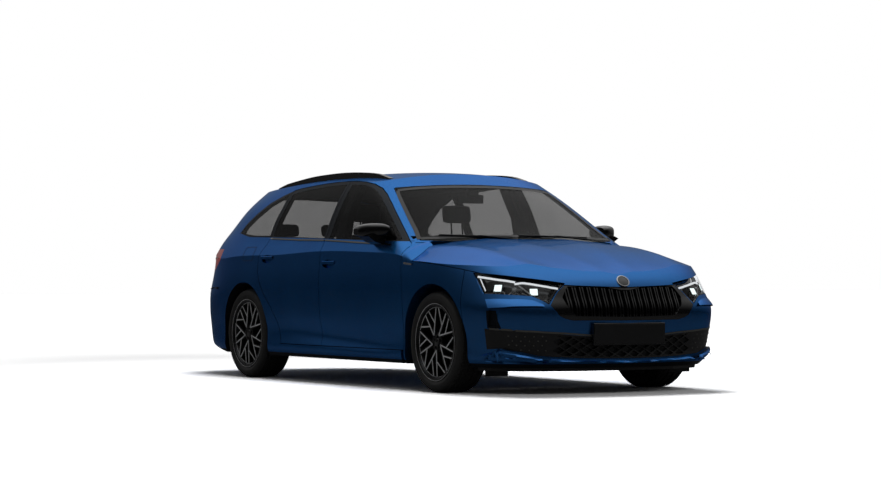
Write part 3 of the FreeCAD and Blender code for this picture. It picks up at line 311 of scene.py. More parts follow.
dressing = {
    paint: "body_shell front_wing_left front_wing_right door_front_left door_front_right door_rear_left "
    "door_rear_right bonnet front_bumper rear_bumper tailgate",
    blackGloss: "mirror_left mirror_right roof_rails grille lamp_units",
    blackPlastic: "lower_grille dashboard",
    underTray: "floor_pan",
    rubber: "tyre_front_left tyre_front_right tyre_rear_left tyre_rear_right",
    rimMetal: "rim_front_left rim_front_right rim_rear_left rim_rear_right",
    castMetal: "engine_block",
    steel: "knuckle_left knuckle_right rear_axle front_subframe",
    exhaustSteel: "exhaust",
    clearGlass: "windscreen glass_front_left glass_front_right",
    darkGlass: "glass_rear_left glass_rear_right quarter_glass tailgate_glass",
    lampLens: "headlamps",
    redLens: "tail_lamps tailgate_lamps",
    seatCloth: "front_seats rear_seat",
    leather: "steering_wheel",
}
for material, names in dressing.items():
    for name in names.split():
        holder = nodes[name]
        if not holder.material_slots:
            holder.data.materials.append(material)
        for part in holder.material_slots:
            part.material = material
print("nodes dressed")


# Mesh helpers

def finishPiece(name, mesh, material, body, angle=40.0, steps=()):
    bmesh.ops.remove_doubles(mesh, verts=mesh.verts, dist=1e-6)
    bmesh.ops.recalc_face_normals(mesh, faces=mesh.faces)
    data = bpy.data.meshes.new(name)
    mesh.to_mesh(data)
    mesh.free()
    data.materials.append(material)
    for face in data.polygons:
        face.use_smooth = True
    data.set_sharp_from_angle(angle=math.radians(angle))
    piece = bpy.data.objects.new(name, data)
    bpy.context.scene.collection.objects.link(piece)
    for kind, settings in steps:
        step = piece.modifiers.new(kind.lower(), kind)
        for key, value in settings.items():
            setattr(step, key, value)
    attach(piece, body)
    return piece


softEdge = [("BEVEL", {"width": 0.002, "segments": 2, "limit_method": "ANGLE"})]


def rounded(width, segments=3):
    return [("BEVEL", {"width": width, "segments": segments})]


def tilt(degrees):  # a lean about the car's X axis
    return Matrix.Rotation(math.radians(degrees), 3, "X")


def moveTo(mesh, verts, spot, turn=None):  # turned about the origin, then shifted
    if turn:
        bmesh.ops.rotate(mesh, verts=verts, cent=(0, 0, 0), matrix=turn)
    bmesh.ops.translate(mesh, verts=verts, vec=spot)


def addBlock(mesh, size, spot, turn=None):  # a box about its own middle
    made = bmesh.ops.create_cube(mesh, size=1.0)["verts"]
    bmesh.ops.scale(mesh, verts=made, vec=size)
    moveTo(mesh, made, spot, turn)


def addBox(mesh, low, high, turn=None):  # a box between two corners
    low, high = Vector(low), Vector(high)
    addBlock(mesh, high - low, (high + low) / 2, turn)


def addCone(mesh, radius, tip, depth, sides, spot, turn=None):
    made = bmesh.ops.create_cone(
        mesh, cap_ends=True, segments=sides, radius1=radius, radius2=tip, depth=depth
    )["verts"]
    moveTo(mesh, made, spot, turn)


def addRod(mesh, start, end, radius, tip=None, sides=16):
    start, end = Vector(start), Vector(end)
    tip = radius if tip is None else tip
    turn = (end - start).to_track_quat("Z", "Y").to_matrix()
    addCone(mesh, radius, tip, (end - start).length, sides, (start + end) / 2, turn)


def addRing(mesh, section, steps):  # a closed (along, radius) section turned round the X axis
    before = set(mesh.verts)
    verts = [mesh.verts.new((along, 0, radius)) for along, radius in section]
    edges = [mesh.edges.new((verts[n - 1], verts[n])) for n in range(len(verts))]
    bmesh.ops.spin(
        mesh, geom=verts + edges, cent=(0, 0, 0), axis=(1, 0, 0), angle=2 * math.pi, steps=steps,
        use_merge=True,
    )
    return [vert for vert in mesh.verts if vert not in before]


def thicken(mesh, faces, thick):
    bmesh.ops.recalc_face_normals(mesh, faces=faces)
    bmesh.ops.solidify(mesh, geom=faces, thickness=thick)


def addMirror(mesh):
    geom = mesh.verts[:] + mesh.edges[:] + mesh.faces[:]
    bmesh.ops.mirror(mesh, geom=geom, axis="X", merge_dist=-1.0)


def skinOf(*names):
    trees = []
    for name in names:
        data = nodes[name].data
        trees.append(BVHTree.FromPolygons(
            [vert.co for vert in data.vertices], [face.vertices for face in data.polygons]
        ))
    return trees


def hitOn(trees, start, way):  # where a ray from start meets the first skin
    return trees[0].ray_cast(Vector(start), Vector(way))[0]


def nearest(trees, point):
    found = [tree.find_nearest(point) for tree in trees]
    return min((hit for hit in found if hit[0]), key=lambda hit: hit[3])


def onSkin(trees, point):  # the outer surface next to a point, and its outward normal
    point = Vector(point)
    away = Vector((point.x, point.y * 0.35, point.z - 0.55)).normalized()  # out from the car's middle
    point = point + away * 0.02
    for look in range(2):  # the second look starts close to the skin
        spot, normal = nearest(trees, point)[:2]
        if normal.dot(away) < 0:
            normal = -normal
        point = spot + normal * 0.02
    return spot, normal


def alongRoute(route, share):  # the point at a share, 0 to 1, of a list of points
    at = share * (len(route) - 1)
    k = min(int(at), len(route) - 2)
    return Vector(route[k]).lerp(Vector(route[k + 1]), at - k)


def addStrip(mesh, trees, route, width, lift, thick, steps):  # a flat ribbon that follows a skin
    rows = [onSkin(trees, alongRoute(route, n / steps)) for n in range(steps + 1)]
    grid = bmesh.ops.create_grid(mesh, x_segments=steps, y_segments=1, size=1.0)["verts"]
    grid.sort(key=lambda vert: (round(vert.co.x * 1e4), vert.co.y))
    for n, (spot, normal) in enumerate(rows):
        along = rows[min(n + 1, steps)][0] - rows[max(n - 1, 0)][0]
        across = along.cross(normal).normalized()
        wide = width[0] + (width[1] - width[0]) * n / steps if isinstance(width, tuple) else width
        for k, side in enumerate((-0.5, 0.5)):
            grid[2 * n + k].co = spot + normal * (lift + thick) + across * wide * side
    thicken(mesh, list({face for vert in grid for face in vert.link_faces}), thick)


def makeStrip(name, trees, plan, material, body, mirror=False, sign=1, steps=()):
    mesh = bmesh.new()
    route, sizes = plan  # the sizes are width, lift, thickness and steps along the route
    addStrip(mesh, trees, [(sign * x, y, z) for x, y, z in route], *sizes)
    if mirror:
        addMirror(mesh)
    finishPiece(name, mesh, material, body, steps=steps)


def addPatch(mesh, trees, top, low, lift, thick, columns, rows):  # a sheet on a skin, between two routes
    before = set(mesh.verts)
    bmesh.ops.create_grid(mesh, x_segments=columns, y_segments=rows, size=1.0)
    made = [vert for vert in mesh.verts if vert not in before]
    for vert in made:
        across, down = vert.co.x / 2 + 0.5, 0.5 - vert.co.y / 2
        spot, normal = onSkin(trees, alongRoute(top, across).lerp(alongRoute(low, across), down))
        vert.co = spot + normal * (lift[0] + (lift[1] - lift[0]) * down)
    thicken(mesh, list({face for vert in made for face in vert.link_faces}), thick)


# Finishes of the small pieces

chrome = makePlain("satin bright metal", (0.52, 0.53, 0.55), 0.26, 120, 0.00004, 1.0, 0.06)
machined = makePlain("machined alloy face", (0.88, 0.89, 0.90), 0.34, 900, 0.00005, 0.1, 0.08)
discSteel = makePlain("brake disc steel", (0.20, 0.195, 0.19), 0.34, 400, 0.00006, 1.0, 0.15)
tyreRubber = makePlain("tread rubber", (0.020, 0.020, 0.020), 0.66, 500, 0.0003)
greyTrim = makePlain("grey trim", (0.085, 0.085, 0.078), 0.42, 160, 0.00008)
whitePlastic = makePlain("pale reflector", (0.55, 0.57, 0.58), 0.16, 90, 0.00005, 0.6, 0.1)
redPlain = makePlain("red reflector", (0.30, 0.008, 0.008), 0.18, 500, 0.0001, 0.0, 0.2, Coat_Weight=1.0)
mirrorFace = makePlain("mirror glass", (0.55, 0.57, 0.60), 0.06, 20, 0.00001, 1.0, 0.03)


def makeGlow(name, colour, strength):
    shader = Shader(name, colour, Roughness=0.2, Emission_Strength=strength)
    cell = ribs(shader, 0.010)
    shader.set("Emission Color", shader.blend(cell, shaded(colour, 0.86), colour))
    return shader.material


dayLight = makeGlow("daylight bar", (0.92, 0.96, 1.0), 0.95)
beamLight = makeGlow("projector beam", (0.86, 1.0, 1.0), 1.6)


# Road wheels

sideSign = {"left": 1, "right": -1}
axleY = {"front": -1.4640, "rear": 1.2220}
wheelX, wheelZ = 0.7715, 0.3185

tyreLook = {  # sections are (along the axle, radius)
    "steps": 90, "base": 0.3150, "treadHalf": 0.092, "blockInset": 0.0016, "blockDepth": 0.0034,
    "grooves": (-0.062, -0.022, 0.022, 0.062), "grooveDepth": 0.006, "grooveTop": 0.0055,
    "grooveFloor": 0.0042, "blockBand": 0.0035,
    "wall": [(-0.0945, 0.2290), (-0.0985, 0.2380), (-0.0995, 0.2470), (-0.1065, 0.2560), (-0.1118, 0.2680),
             (-0.1124, 0.2760), (-0.1112, 0.2860), (-0.1092, 0.2960), (-0.1045, 0.3045), (-0.0980, 0.3100),
             (-0.0860, 0.3140)],
    "inside": [(0.086, 0.2290), (0.088, 0.250), (0.098, 0.272), (0.092, 0.296), (0.074, 0.306)],
}


def mirrored(section):
    return [(-along, radius) for along, radius in reversed(section)]


def makeTyre(end, side):
    mesh = bmesh.new()
    base = tyreLook["base"]
    low = base - tyreLook["grooveDepth"]
    top, floor = tyreLook["grooveTop"], tyreLook["grooveFloor"]
    section = list(tyreLook["wall"])
    for groove in tyreLook["grooves"]:
        section += [(groove - top, base), (groove - floor, low), (groove + floor, low), (groove + top, base)]
    section += mirrored(tyreLook["wall"]) + tyreLook["inside"] + mirrored(tyreLook["inside"])
    addRing(mesh, section, tyreLook["steps"])
    bmesh.ops.recalc_face_normals(mesh, faces=mesh.faces)
    blocks = []
    for face in mesh.faces:
        middle = face.calc_center_median()
        outer = math.hypot(middle.y, middle.z) > base - tyreLook["blockBand"]
        if outer and abs(middle.x) < tyreLook["treadHalf"]:
            blocks.append(face)
    inset, depth = tyreLook["blockInset"], tyreLook["blockDepth"]
    bmesh.ops.inset_individual(mesh, faces=blocks, thickness=inset, depth=depth, use_even_offset=True)
    moveTo(mesh, mesh.verts, (sideSign[side] * wheelX, axleY[end], wheelZ))
    body = "%s_wheel_%s" % (end, side)
    piece = finishPiece("tread_%s_%s" % (end, side), mesh, tyreRubber, body, 35)
    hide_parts("tyre_%s_%s" % (end, side))


rimLook = {  # turns in degrees, planes measured outwards from the wheel's middle
    "pairs": 5, "firstFoot": 36, "footRadius": 0.050, "leans": (-3, 35), "reach": 0.216, "forkAt": 0.44,
    "branchTurn": 26, "stripWidth": 0.0085, "stripThick": 0.0022, "facePlane": 0.0938, "branchPlane": 0.0928,
    "outerRing": [(0.1050, 0.2405), (0.1066, 0.2432), (0.1062, 0.2442), (0.1040, 0.2432), (0.1040, 0.2410)],
    "innerRing": [(0.0900, 0.2185), (0.0912, 0.2205), (0.0890, 0.2215), (0.0880, 0.2190)],
    "bolts": 5, "boltCircle": 0.036, "boltPlane": 0.088,
    "cap": [(0.086, 0.0004), (0.086, 0.0290), (0.0915, 0.0285), (0.0940, 0.0265), (0.0952, 0.0004)],
    "disc": [(0.0062, 0.092), (0.0072, 0.0925), (0.0072, 0.153), (0.0062, 0.155)],
}


def makeRimFaces(end, side):
    sign = sideSign[side]
    middle = Vector((sign * wheelX, axleY[end], wheelZ))
    body = "%s_wheel_%s" % (end, side)
    step = 360 / rimLook["pairs"]

    def spot(turn, radius, plane):
        angle = math.radians(turn)
        return Vector((sign * plane, -radius * math.sin(angle), radius * math.cos(angle)))

    def bar(first, last, plane):
        a, b = spot(*first, plane), spot(*last, plane)
        lean = math.atan2(-(b - a).y, (b - a).z)
        size = (rimLook["stripThick"], rimLook["stripWidth"], (b - a).length)
        addBlock(mesh, size, (a + b) / 2 + Vector((sign * 0.0004, 0, 0)), Matrix.Rotation(lean, 3, "X"))

    def ring(name, steps):
        addRing(mesh, [(sign * along, radius) for along, radius in rimLook[name]], steps)

    def finish(name, material):
        moveTo(mesh, mesh.verts, middle)
        finishPiece("%s_%s_%s" % (name, end, side), mesh, material, body)

    mesh = bmesh.new()
    for n in range(rimLook["pairs"]):
        foot = (rimLook["firstFoot"] + step * n, rimLook["footRadius"])
        for lean in rimLook["leans"]:
            tip = (foot[0] + lean, rimLook["reach"])
            bar(foot, tip, rimLook["facePlane"])
            fork = spot(*foot, 0).lerp(spot(*tip, 0), rimLook["forkAt"])
            turn = math.degrees(math.atan2(-fork.y, fork.z))
            branchTip = (tip[0] - rimLook["branchTurn"], rimLook["reach"])
            bar((turn, math.hypot(fork.y, fork.z)), branchTip, rimLook["branchPlane"])
    ring("outerRing", 72)
    ring("innerRing", 72)
    finish("rim_face", machined)

    mesh = bmesh.new()
    for n in range(rimLook["bolts"]):
        hole = spot(360 / rimLook["bolts"] * n, rimLook["boltCircle"], rimLook["boltPlane"])
        addRod(mesh, hole, hole + Vector((sign * 0.009, 0, 0)), 0.0105, 0.009, 6)
    ring("cap", 32)
    finish("hub_cap", blackGloss)

    mesh = bmesh.new()
    ring("disc", 64)
    finish("disc_face", discSteel)


for end in axleY:
    for side in sideSign:
        makeTyre(end, side)
        makeRimFaces(end, side)
print("wheels done")


# Headlamps and daylight bars

lampLook = {
    "bars": [
        [(0.826, -1.885, 0.734), (0.767, -2.006, 0.722), (0.686, -2.108, 0.710)],
        [(0.693, -2.112, 0.699), (0.651, -2.138, 0.708), (0.560, -2.195, 0.694), (0.452, -2.250, 0.677)],
        [(0.821, -1.909, 0.721), (0.822, -1.968, 0.650)],
    ],
    "diagonal": [(0.678, -2.130, 0.694), (0.617, -2.226, 0.624), (0.555, -2.286, 0.559)],
    "lowEdge": [(0.826, -1.968, 0.632), (0.756, -2.103, 0.627), (0.640, -2.214, 0.617)],
    "barWidths": [0.013, 0.013, 0.006], "sunk": -0.0085,
    "eyes": [(0.774, -2.036, 0.672), (0.604, -2.206, 0.659)], "eye": (0.026, 0.018), "frame": (0.034, 0.022),
    "reflector": (0.700, -2.122, 0.671), "reflectorRadii": (0.020, 0.016, 0.011),
}


def makeLampDetail():
    lens = skinOf("headlamps")
    sunk = lampLook["sunk"]
    bars = bmesh.new()
    for route, width in zip(lampLook["bars"], lampLook["barWidths"]):
        addStrip(bars, lens, route, width, sunk - 0.004, 0.003, 20)
    addMirror(bars)
    finishPiece("daylight_bars", bars, dayLight, "body")
    edge = bmesh.new()
    addStrip(edge, lens, lampLook["diagonal"], 0.009, sunk - 0.003, 0.002, 16)
    addStrip(edge, lens, lampLook["lowEdge"], 0.004, sunk - 0.003, 0.002, 18)
    addMirror(edge)
    finishPiece("lamp_edges", edge, whitePlastic, "body")
    eyes, frames = bmesh.new(), bmesh.new()
    for place in lampLook["eyes"]:
        spot, normal = onSkin(lens, place)
        turn = normal.to_track_quat("-Y", "Z").to_matrix()
        for mesh, (size, depth) in ((eyes, lampLook["eye"]), (frames, lampLook["frame"])):
            addBlock(mesh, (size * 1.9, 0.010, size * 1.7), spot - normal * depth, turn)
    addMirror(eyes)
    addMirror(frames)
    finishPiece("projector_faces", eyes, beamLight, "body", steps=rounded(0.004))
    finishPiece("projector_frames", frames, blackGloss, "body", steps=softEdge)
    bowl = bmesh.new()
    spot, normal = onSkin(lens, lampLook["reflector"])
    turn = normal.to_track_quat("Z", "Y").to_matrix()
    for n, radius in enumerate(lampLook["reflectorRadii"]):
        addCone(bowl, radius, radius * 0.8, 0.006, 24, spot - normal * (0.030 - 0.004 * n), turn)
    addMirror(bowl)
    finishPiece("lamp_reflectors", bowl, whitePlastic, "body")


makeLampDetail()
print("lamps done")


# Nose details

noseLook = {
    "trim": ([(0.820, -2.02, 0.413), (0.760, -2.13, 0.408), (0.623, -2.24, 0.397), (0.420, -2.31, 0.379),
              (0.217, -2.33, 0.363), (0.0, -2.34, 0.358)], (0.011, 0.0004, 0.0030, 48)),
    "studRows": 4, "studsInRow": 5, "studPitch": 0.047, "studRise": 0.028, "studStart": (0.545, 0.285),
    "badge": (0.0, -2.275, 0.716), "badgeRadius": 0.043,
    "plateWide": 0.26, "plateTall": 0.060, "plateZ": 0.378, "plateY": (-2.3462, -2.3432),
    "holderY": (-2.3442, -2.318), "holderRim": (0.006, 0.008),
}


def makeNose():
    skin = skinOf("front_bumper", "lower_grille")
    makeStrip("intake_trim", skin, noseLook["trim"], greyTrim, "body", True)
    studs = bmesh.new()
    lattice = skinOf("lower_grille")
    pitch, rise = noseLook["studPitch"], noseLook["studRise"]
    startX, startZ = noseLook["studStart"]
    for row in range(noseLook["studRows"]):
        for n in range(noseLook["studsInRow"]):
            x = startX + pitch * n + pitch / 2 * (row % 2)
            z = startZ + rise * row
            if x > 0.79 or z < 0.262 + (x - 0.6) * 0.2:  # off the outer end of the lattice
                continue
            spot, normal = onSkin(lattice, (x, -2.25 + max(0.0, x - 0.55) * 0.55, z))
            turn = normal.to_track_quat("Z", "Y").to_matrix()
            addCone(studs, 0.0055, 0.0025, 0.004, 8, spot + normal * 0.0015, turn)
    addMirror(studs)
    finishPiece("intake_studs", studs, greyTrim, "body")
    wide, tall, z = noseLook["plateWide"], noseLook["plateTall"], noseLook["plateZ"]
    front, back = noseLook["plateY"]
    plate = bmesh.new()
    addBox(plate, (-wide, front, z - tall), (wide, back, z + tall))
    finishPiece("front_plate", plate, blackPlastic, "body", steps=rounded(0.001, 2))
    rimX, rimZ = noseLook["holderRim"]
    front, back = noseLook["holderY"]
    holder = bmesh.new()
    addBox(holder, (-wide - rimX, front, z - tall - rimZ), (wide + rimX, back, z + tall + rimZ))
    finishPiece("front_plate_holder", holder, blackGloss, "body", steps=rounded(0.004))


def makeBadge(name, body, trees, spot, radius):  # a bare round disc in a bright ring
    spot, normal = onSkin(trees, spot)
    turn = normal.to_track_quat("X", "Z").to_matrix()
    ring = bmesh.new()
    addRing(ring, [(0.0, radius), (0.003, radius), (0.0045, radius - 0.002), (0.0045, radius - 0.0055),
                   (0.002, radius - 0.007), (0.0, radius - 0.007)], 48)
    face = bmesh.new()
    addRing(face, [(0.0, 0.0003), (0.0, radius - 0.006), (0.0018, radius - 0.006), (0.0034, radius * 0.55),
                   (0.0040, 0.0003)], 48)
    for mesh, material, part in ((ring, chrome, "_ring"), (face, blackGloss, "_face")):
        moveTo(mesh, mesh.verts, spot + normal * 0.0002, turn)
        finishPiece(name + part, mesh, material, body)


makeNose()
makeBadge("nose_disc", "bonnet", skinOf("bonnet"), noseLook["badge"], noseLook["badgeRadius"])
print("nose done")


# Sides: the black window frames are in the paint; lips, wing strips and mirror glass are here

sideLook = {
    "belt": {
        "front": (
            [(0.90, -0.880, 0.957), (0.90, -0.753, 0.958), (0.89, -0.299, 0.972), (0.885, 0.036, 0.984)],
            (0.011, 0.0002, 0.0024, 30),
        ),
        "rear": (
            [(0.885, 0.050, 0.984), (0.88, 0.451, 0.992), (0.86, 0.915, 1.003)],
            (0.011, 0.0002, 0.0024, 30),
        ),
    },
    "wingStrip": ([(0.90, -1.205, 0.804), (0.90, -1.105, 0.812)], (0.013, 0.0002, 0.0030, 10)),
    "mirrorMiddle": (0.921, 1.030), "mirrorHalf": (0.064, 0.033), "mirrorLift": 0.0025,
}


def makeSides():
    for side, sign in sideSign.items():
        for end, belt in sideLook["belt"].items():
            skin = skinOf("door_%s_%s" % (end, side))
            body = "%s_door_%s" % (end, side)
            makeStrip("belt_lip_%s_%s" % (end, side), skin, belt, blackGloss, body, sign=sign)
        skin = skinOf("front_wing_" + side)
        makeStrip("wing_strip_" + side, skin, sideLook["wingStrip"], chrome, "body", sign=sign)
        face = bmesh.new()
        shell = skinOf("mirror_" + side)
        middleX, middleZ = sideLook["mirrorMiddle"]
        halfX, halfZ = sideLook["mirrorHalf"]
        for vert in bmesh.ops.create_grid(face, x_segments=10, y_segments=8, size=0.5)["verts"]:
            u, v = vert.co.x * 2, vert.co.y * 2
            x = sign * (middleX + halfX * u * (1 - 0.12 * v * v))
            z = middleZ + halfZ * v * (1 - 0.10 * u * u)
            hit = hitOn(shell, (x, -0.40, z), (0, -1, 0))
            vert.co = Vector((x, (hit.y if hit else -0.63) + sideLook["mirrorLift"], z))
        thicken(face, face.faces[:], 0.002)
        finishPiece("mirror_face_" + side, face, mirrorFace, "front_door_" + side)


makeSides()
print("sides done")


# Windscreen surround, wipers and inner mirror

screenLook = {  # points are (x, z) on the glass
    "frame": [(0.728, 0.974), (0.697, 1.039), (0.675, 1.103), (0.649, 1.172), (0.628, 1.228), (0.606, 1.276),
              (0.586, 1.302), (0.472, 1.315), (0.300, 1.325), (0.150, 1.331), (0.0, 1.332)],
    "corner": 6, "foot": [(0.0, 0.996), (0.25, 0.994), (0.45, 0.989), (0.60, 0.982), (0.715, 0.978)],
    "wipers": ((0.56, -0.02), (-0.05, -0.60)), "bladeSteps": 8,
}


def makeScreen():
    glass = skinOf("windscreen")

    def at(x, z):
        return hitOn(glass, (x, -3.0, z), (0, 1, 0)) or Vector((x, -1.0, z))

    band = bmesh.new()
    route = [at(x, z) for x, z in screenLook["frame"]]
    corner = screenLook["corner"]
    addStrip(band, glass, route[:corner + 1], (0.030, 0.024), 0.0003, 0.0006, 60)
    addStrip(band, glass, route[corner:], (0.030, 0.034), 0.0003, 0.0006, 40)
    addStrip(band, glass, [at(x, z) for x, z in screenLook["foot"]], 0.030, 0.0003, 0.0006, 40)
    addMirror(band)
    finishPiece("windscreen_band", band, blackPlastic, "body")
    blades = bmesh.new()
    steps = screenLook["bladeSteps"]
    for root, tip in screenLook["wipers"]:
        a, b = at(root, 0.984), at(tip, 0.990)
        elbow = a.lerp(b, 0.5) + Vector((0, -0.018, 0.010))
        addRod(blades, (root, a.y - 0.020, 0.972), elbow, 0.007, 0.005, 10)
        spots = []
        for n in range(steps + 1):
            spot = at(a.x + (b.x - a.x) * (0.06 + 0.94 * n / steps), 0.984 + 0.012 * n / steps)
            spots.append(spot + Vector((0, -0.006, 0.004)))
        for start, stop in zip(spots, spots[1:]):
            addRod(blades, start, stop, 0.0055, 0.0055, 8)
    finishPiece("wipers", blades, blackPlastic, "body")
    pod = bmesh.new()
    addBox(pod, (-0.10, -0.455, 1.225), (0.10, -0.435, 1.285))
    addBox(pod, (-0.035, -0.50, 1.270), (0.035, -0.43, 1.325))
    finishPiece("inner_mirror", pod, blackPlastic, "body", steps=rounded(0.012, 4))


makeScreen()
print("windscreen done")


# Tail details

tailLook = {
    "plateZ": 0.708, "plateWide": 0.26, "plateTall": 0.055, "plateThick": 0.004,
    "grip": ([(-0.24, 2.27, 0.792), (0.0, 2.27, 0.792), (0.24, 2.27, 0.792)], (0.022, 0.0004, 0.006, 30)),
    "disc": (0.0, 2.27, 0.862), "discRadius": 0.036,
    "lampLine": ([(0.905, 1.76, 0.868), (0.895, 1.95, 0.862), (0.84, 2.12, 0.858), (0.72, 2.22, 0.858)],
                 (0.010, 0.0003, 0.0012, 36)),
    "gateLine": ([(0.62, 2.25, 0.862), (0.50, 2.27, 0.868), (0.38, 2.27, 0.878)],
                 (0.010, 0.0003, 0.0012, 36)),
    "reflector": ([(0.80, 2.20, 0.395), (0.72, 2.27, 0.392), (0.60, 2.31, 0.390)],
                  (0.022, 0.0004, 0.004, 20)),
    "skirt": ([(0.0, 2.33, 0.312), (0.30, 2.32, 0.312), (0.60, 2.28, 0.316)], (0.050, 0.0004, 0.003, 40)),
    "pipes": (0.52, 0.605), "pipeZ": 0.262,
    "pipe": [(0.0, 0.030), (0.05, 0.030), (0.05, 0.034), (0.0, 0.034)],
    "wiperHubZ": 0.995, "wiperStep": 0.04, "wiperSteps": 7,
}


def makeTail():
    gate = skinOf("tailgate")
    wide, tall, z = tailLook["plateWide"], tailLook["plateTall"], tailLook["plateZ"]
    low, high = [hitOn(gate, (0.15, 3.0, z + rise), (0, -1, 0)).y for rise in (-0.05, 0.05)]
    turn = Matrix.Rotation(math.atan2(low - high, 0.10), 3, "X")
    plate = bmesh.new()
    addBlock(plate, (2 * wide, tailLook["plateThick"], 2 * tall), (0, (low + high) / 2 + 0.004, z), turn)
    finishPiece("rear_plate", plate, whitePlastic, "tailgate", steps=rounded(0.001, 2))
    makeStrip("gate_grip", gate, tailLook["grip"], blackGloss, "tailgate", steps=softEdge)
    makeBadge("tail_disc", "tailgate", gate, tailLook["disc"], tailLook["discRadius"])

    lamps, gateLamps, rear = skinOf("tail_lamps"), skinOf("tailgate_lamps"), skinOf("rear_bumper")
    makeStrip("tail_lamps_line", lamps, tailLook["lampLine"], redPlain, "body", True)
    makeStrip("tailgate_lamps_line", gateLamps, tailLook["gateLine"], redPlain, "tailgate", True)
    reflector, skirt = tailLook["reflector"], tailLook["skirt"]
    makeStrip("rear_reflectors", rear, reflector, redPlain, "body", True, steps=softEdge)
    makeStrip("rear_skirt", rear, skirt, blackPlastic, "body", True, steps=softEdge)
    tips = bmesh.new()
    for sign in (1, -1):
        for x in tailLook["pipes"]:
            spot = onSkin(rear, (sign * x, 2.31, tailLook["pipeZ"]))[0]
            made = addRing(tips, tailLook["pipe"], 28)
            moveTo(tips, made, spot - Vector((0, 0.051, 0)), Matrix.Rotation(math.pi / 2, 3, "Z"))
    finishPiece("tailpipe_trims", tips, chrome, "body")


def makeRearWiper():
    glass = skinOf("tailgate_glass")
    wiper = bmesh.new()
    hub = hitOn(glass, (0.0, 3.0, tailLook["wiperHubZ"]), (0, -1, 0))
    addRod(wiper, hub + Vector((0, -0.004, 0)), hub + Vector((0, 0.020, 0)), 0.020, 0.016, 20)
    last = hub + Vector((0, 0.012, 0))
    for n in range(1, tailLook["wiperSteps"] + 1):
        x, z = -tailLook["wiperStep"] * n, 0.998 + 0.003 * n
        spot = hitOn(glass, (x, 3.0, z), (0, -1, 0)) + Vector((0, 0.010, 0))
        addRod(wiper, last, spot, 0.0065, 0.0060, 10)
        last = spot
    finishPiece("rear_wiper", wiper, blackPlastic, "tailgate")


makeTail()
makeRearWiper()
print("tail done")


# Engine bay

bayLook = {  # boxes are (low corner, high corner)
    "ribs": 7, "ribPitch": 0.065, "ribWide": 0.022,
    "boxes": [
        ((0.36, -2.00, 0.40), (0.50, -1.86, 0.66)), ((-0.50, -2.00, 0.42), (-0.38, -1.86, 0.64)),
        ((-0.62, -1.30, 0.60), (-0.44, -1.13, 0.76)), ((0.40, -1.30, 0.61), (0.53, -1.14, 0.78)),
    ],
    "caps": [(-0.44, -1.93, 0.64), (-0.53, -1.215, 0.76), (0.10, -1.74, 0.742), (0.465, -1.22, 0.78)],
    "radiator": ((-0.36, -2.13, 0.36), (0.36, -2.09, 0.66)), "fins": 18, "finPitch": 0.016,
}


def makeEngineBay():
    low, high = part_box("engine_block")
    top = high[2]
    cover = bmesh.new()
    addBox(cover, (low[0] + 0.05, low[1] + 0.06, top - 0.004), (high[0] - 0.08, high[1] - 0.07, top + 0.040))
    for n in range(bayLook["ribs"]):
        x = low[0] + 0.09 + bayLook["ribPitch"] * n
        addBox(cover, (x, low[1] + 0.09, top + 0.036), (x + bayLook["ribWide"], high[1] - 0.10, top + 0.048))
    finishPiece("engine_cover", cover, blackPlastic, "body", steps=rounded(0.008))
    boxes = bmesh.new()
    for first, last in bayLook["boxes"]:
        addBox(boxes, first, last)
    finishPiece("bay_boxes", boxes, blackPlastic, "body", steps=rounded(0.014))
    caps = bmesh.new()
    for x, y, z in bayLook["caps"]:
        addRod(caps, (x, y, z), (x, y, z + 0.022), 0.026, 0.022, 12)
    finishPiece("bay_caps", caps, greyTrim, "body", steps=softEdge)
    radiator = bmesh.new()
    addBox(radiator, *bayLook["radiator"])
    for n in range(bayLook["fins"]):
        z = 0.372 + bayLook["finPitch"] * n
        addBox(radiator, (-0.35, -2.136, z), (0.35, -2.128, z + 0.004))
    finishPiece("radiator", radiator, discSteel, "body")


# Panels beside the screen foot, the raised forms of the front bumper, and seams

shoulderLook = {  # half width, front edge y and z, rear edge z
    "rows": [(0.700, -1.138, 0.931, 0.955), (0.740, -1.150, 0.917, 0.946), (0.780, -1.170, 0.896, 0.934),
             (0.800, -1.182, 0.885, 0.926), (0.820, -1.190, 0.874, 0.918), (0.840, -1.196, 0.863, 0.909),
             (0.860, -1.202, 0.852, 0.896), (0.880, -1.204, 0.841, 0.879), (0.893, -1.204, 0.834, 0.864),
             (0.8965, -1.204, 0.829, 0.850), (0.8970, -1.204, 0.824, 0.824)],
    "rear": -1.0835, "thick": 0.0025,
    "cowl": [(0.0, 0.975), (0.30, 0.970), (0.50, 0.957), (0.60, 0.945), (0.66, 0.937), (0.69, 0.931)],
    "cowlFront": -1.128, "cowlLong": 0.045, "cowlDrop": 0.034, "cowlRise": 0.008, "cowlThick": 0.004,
}


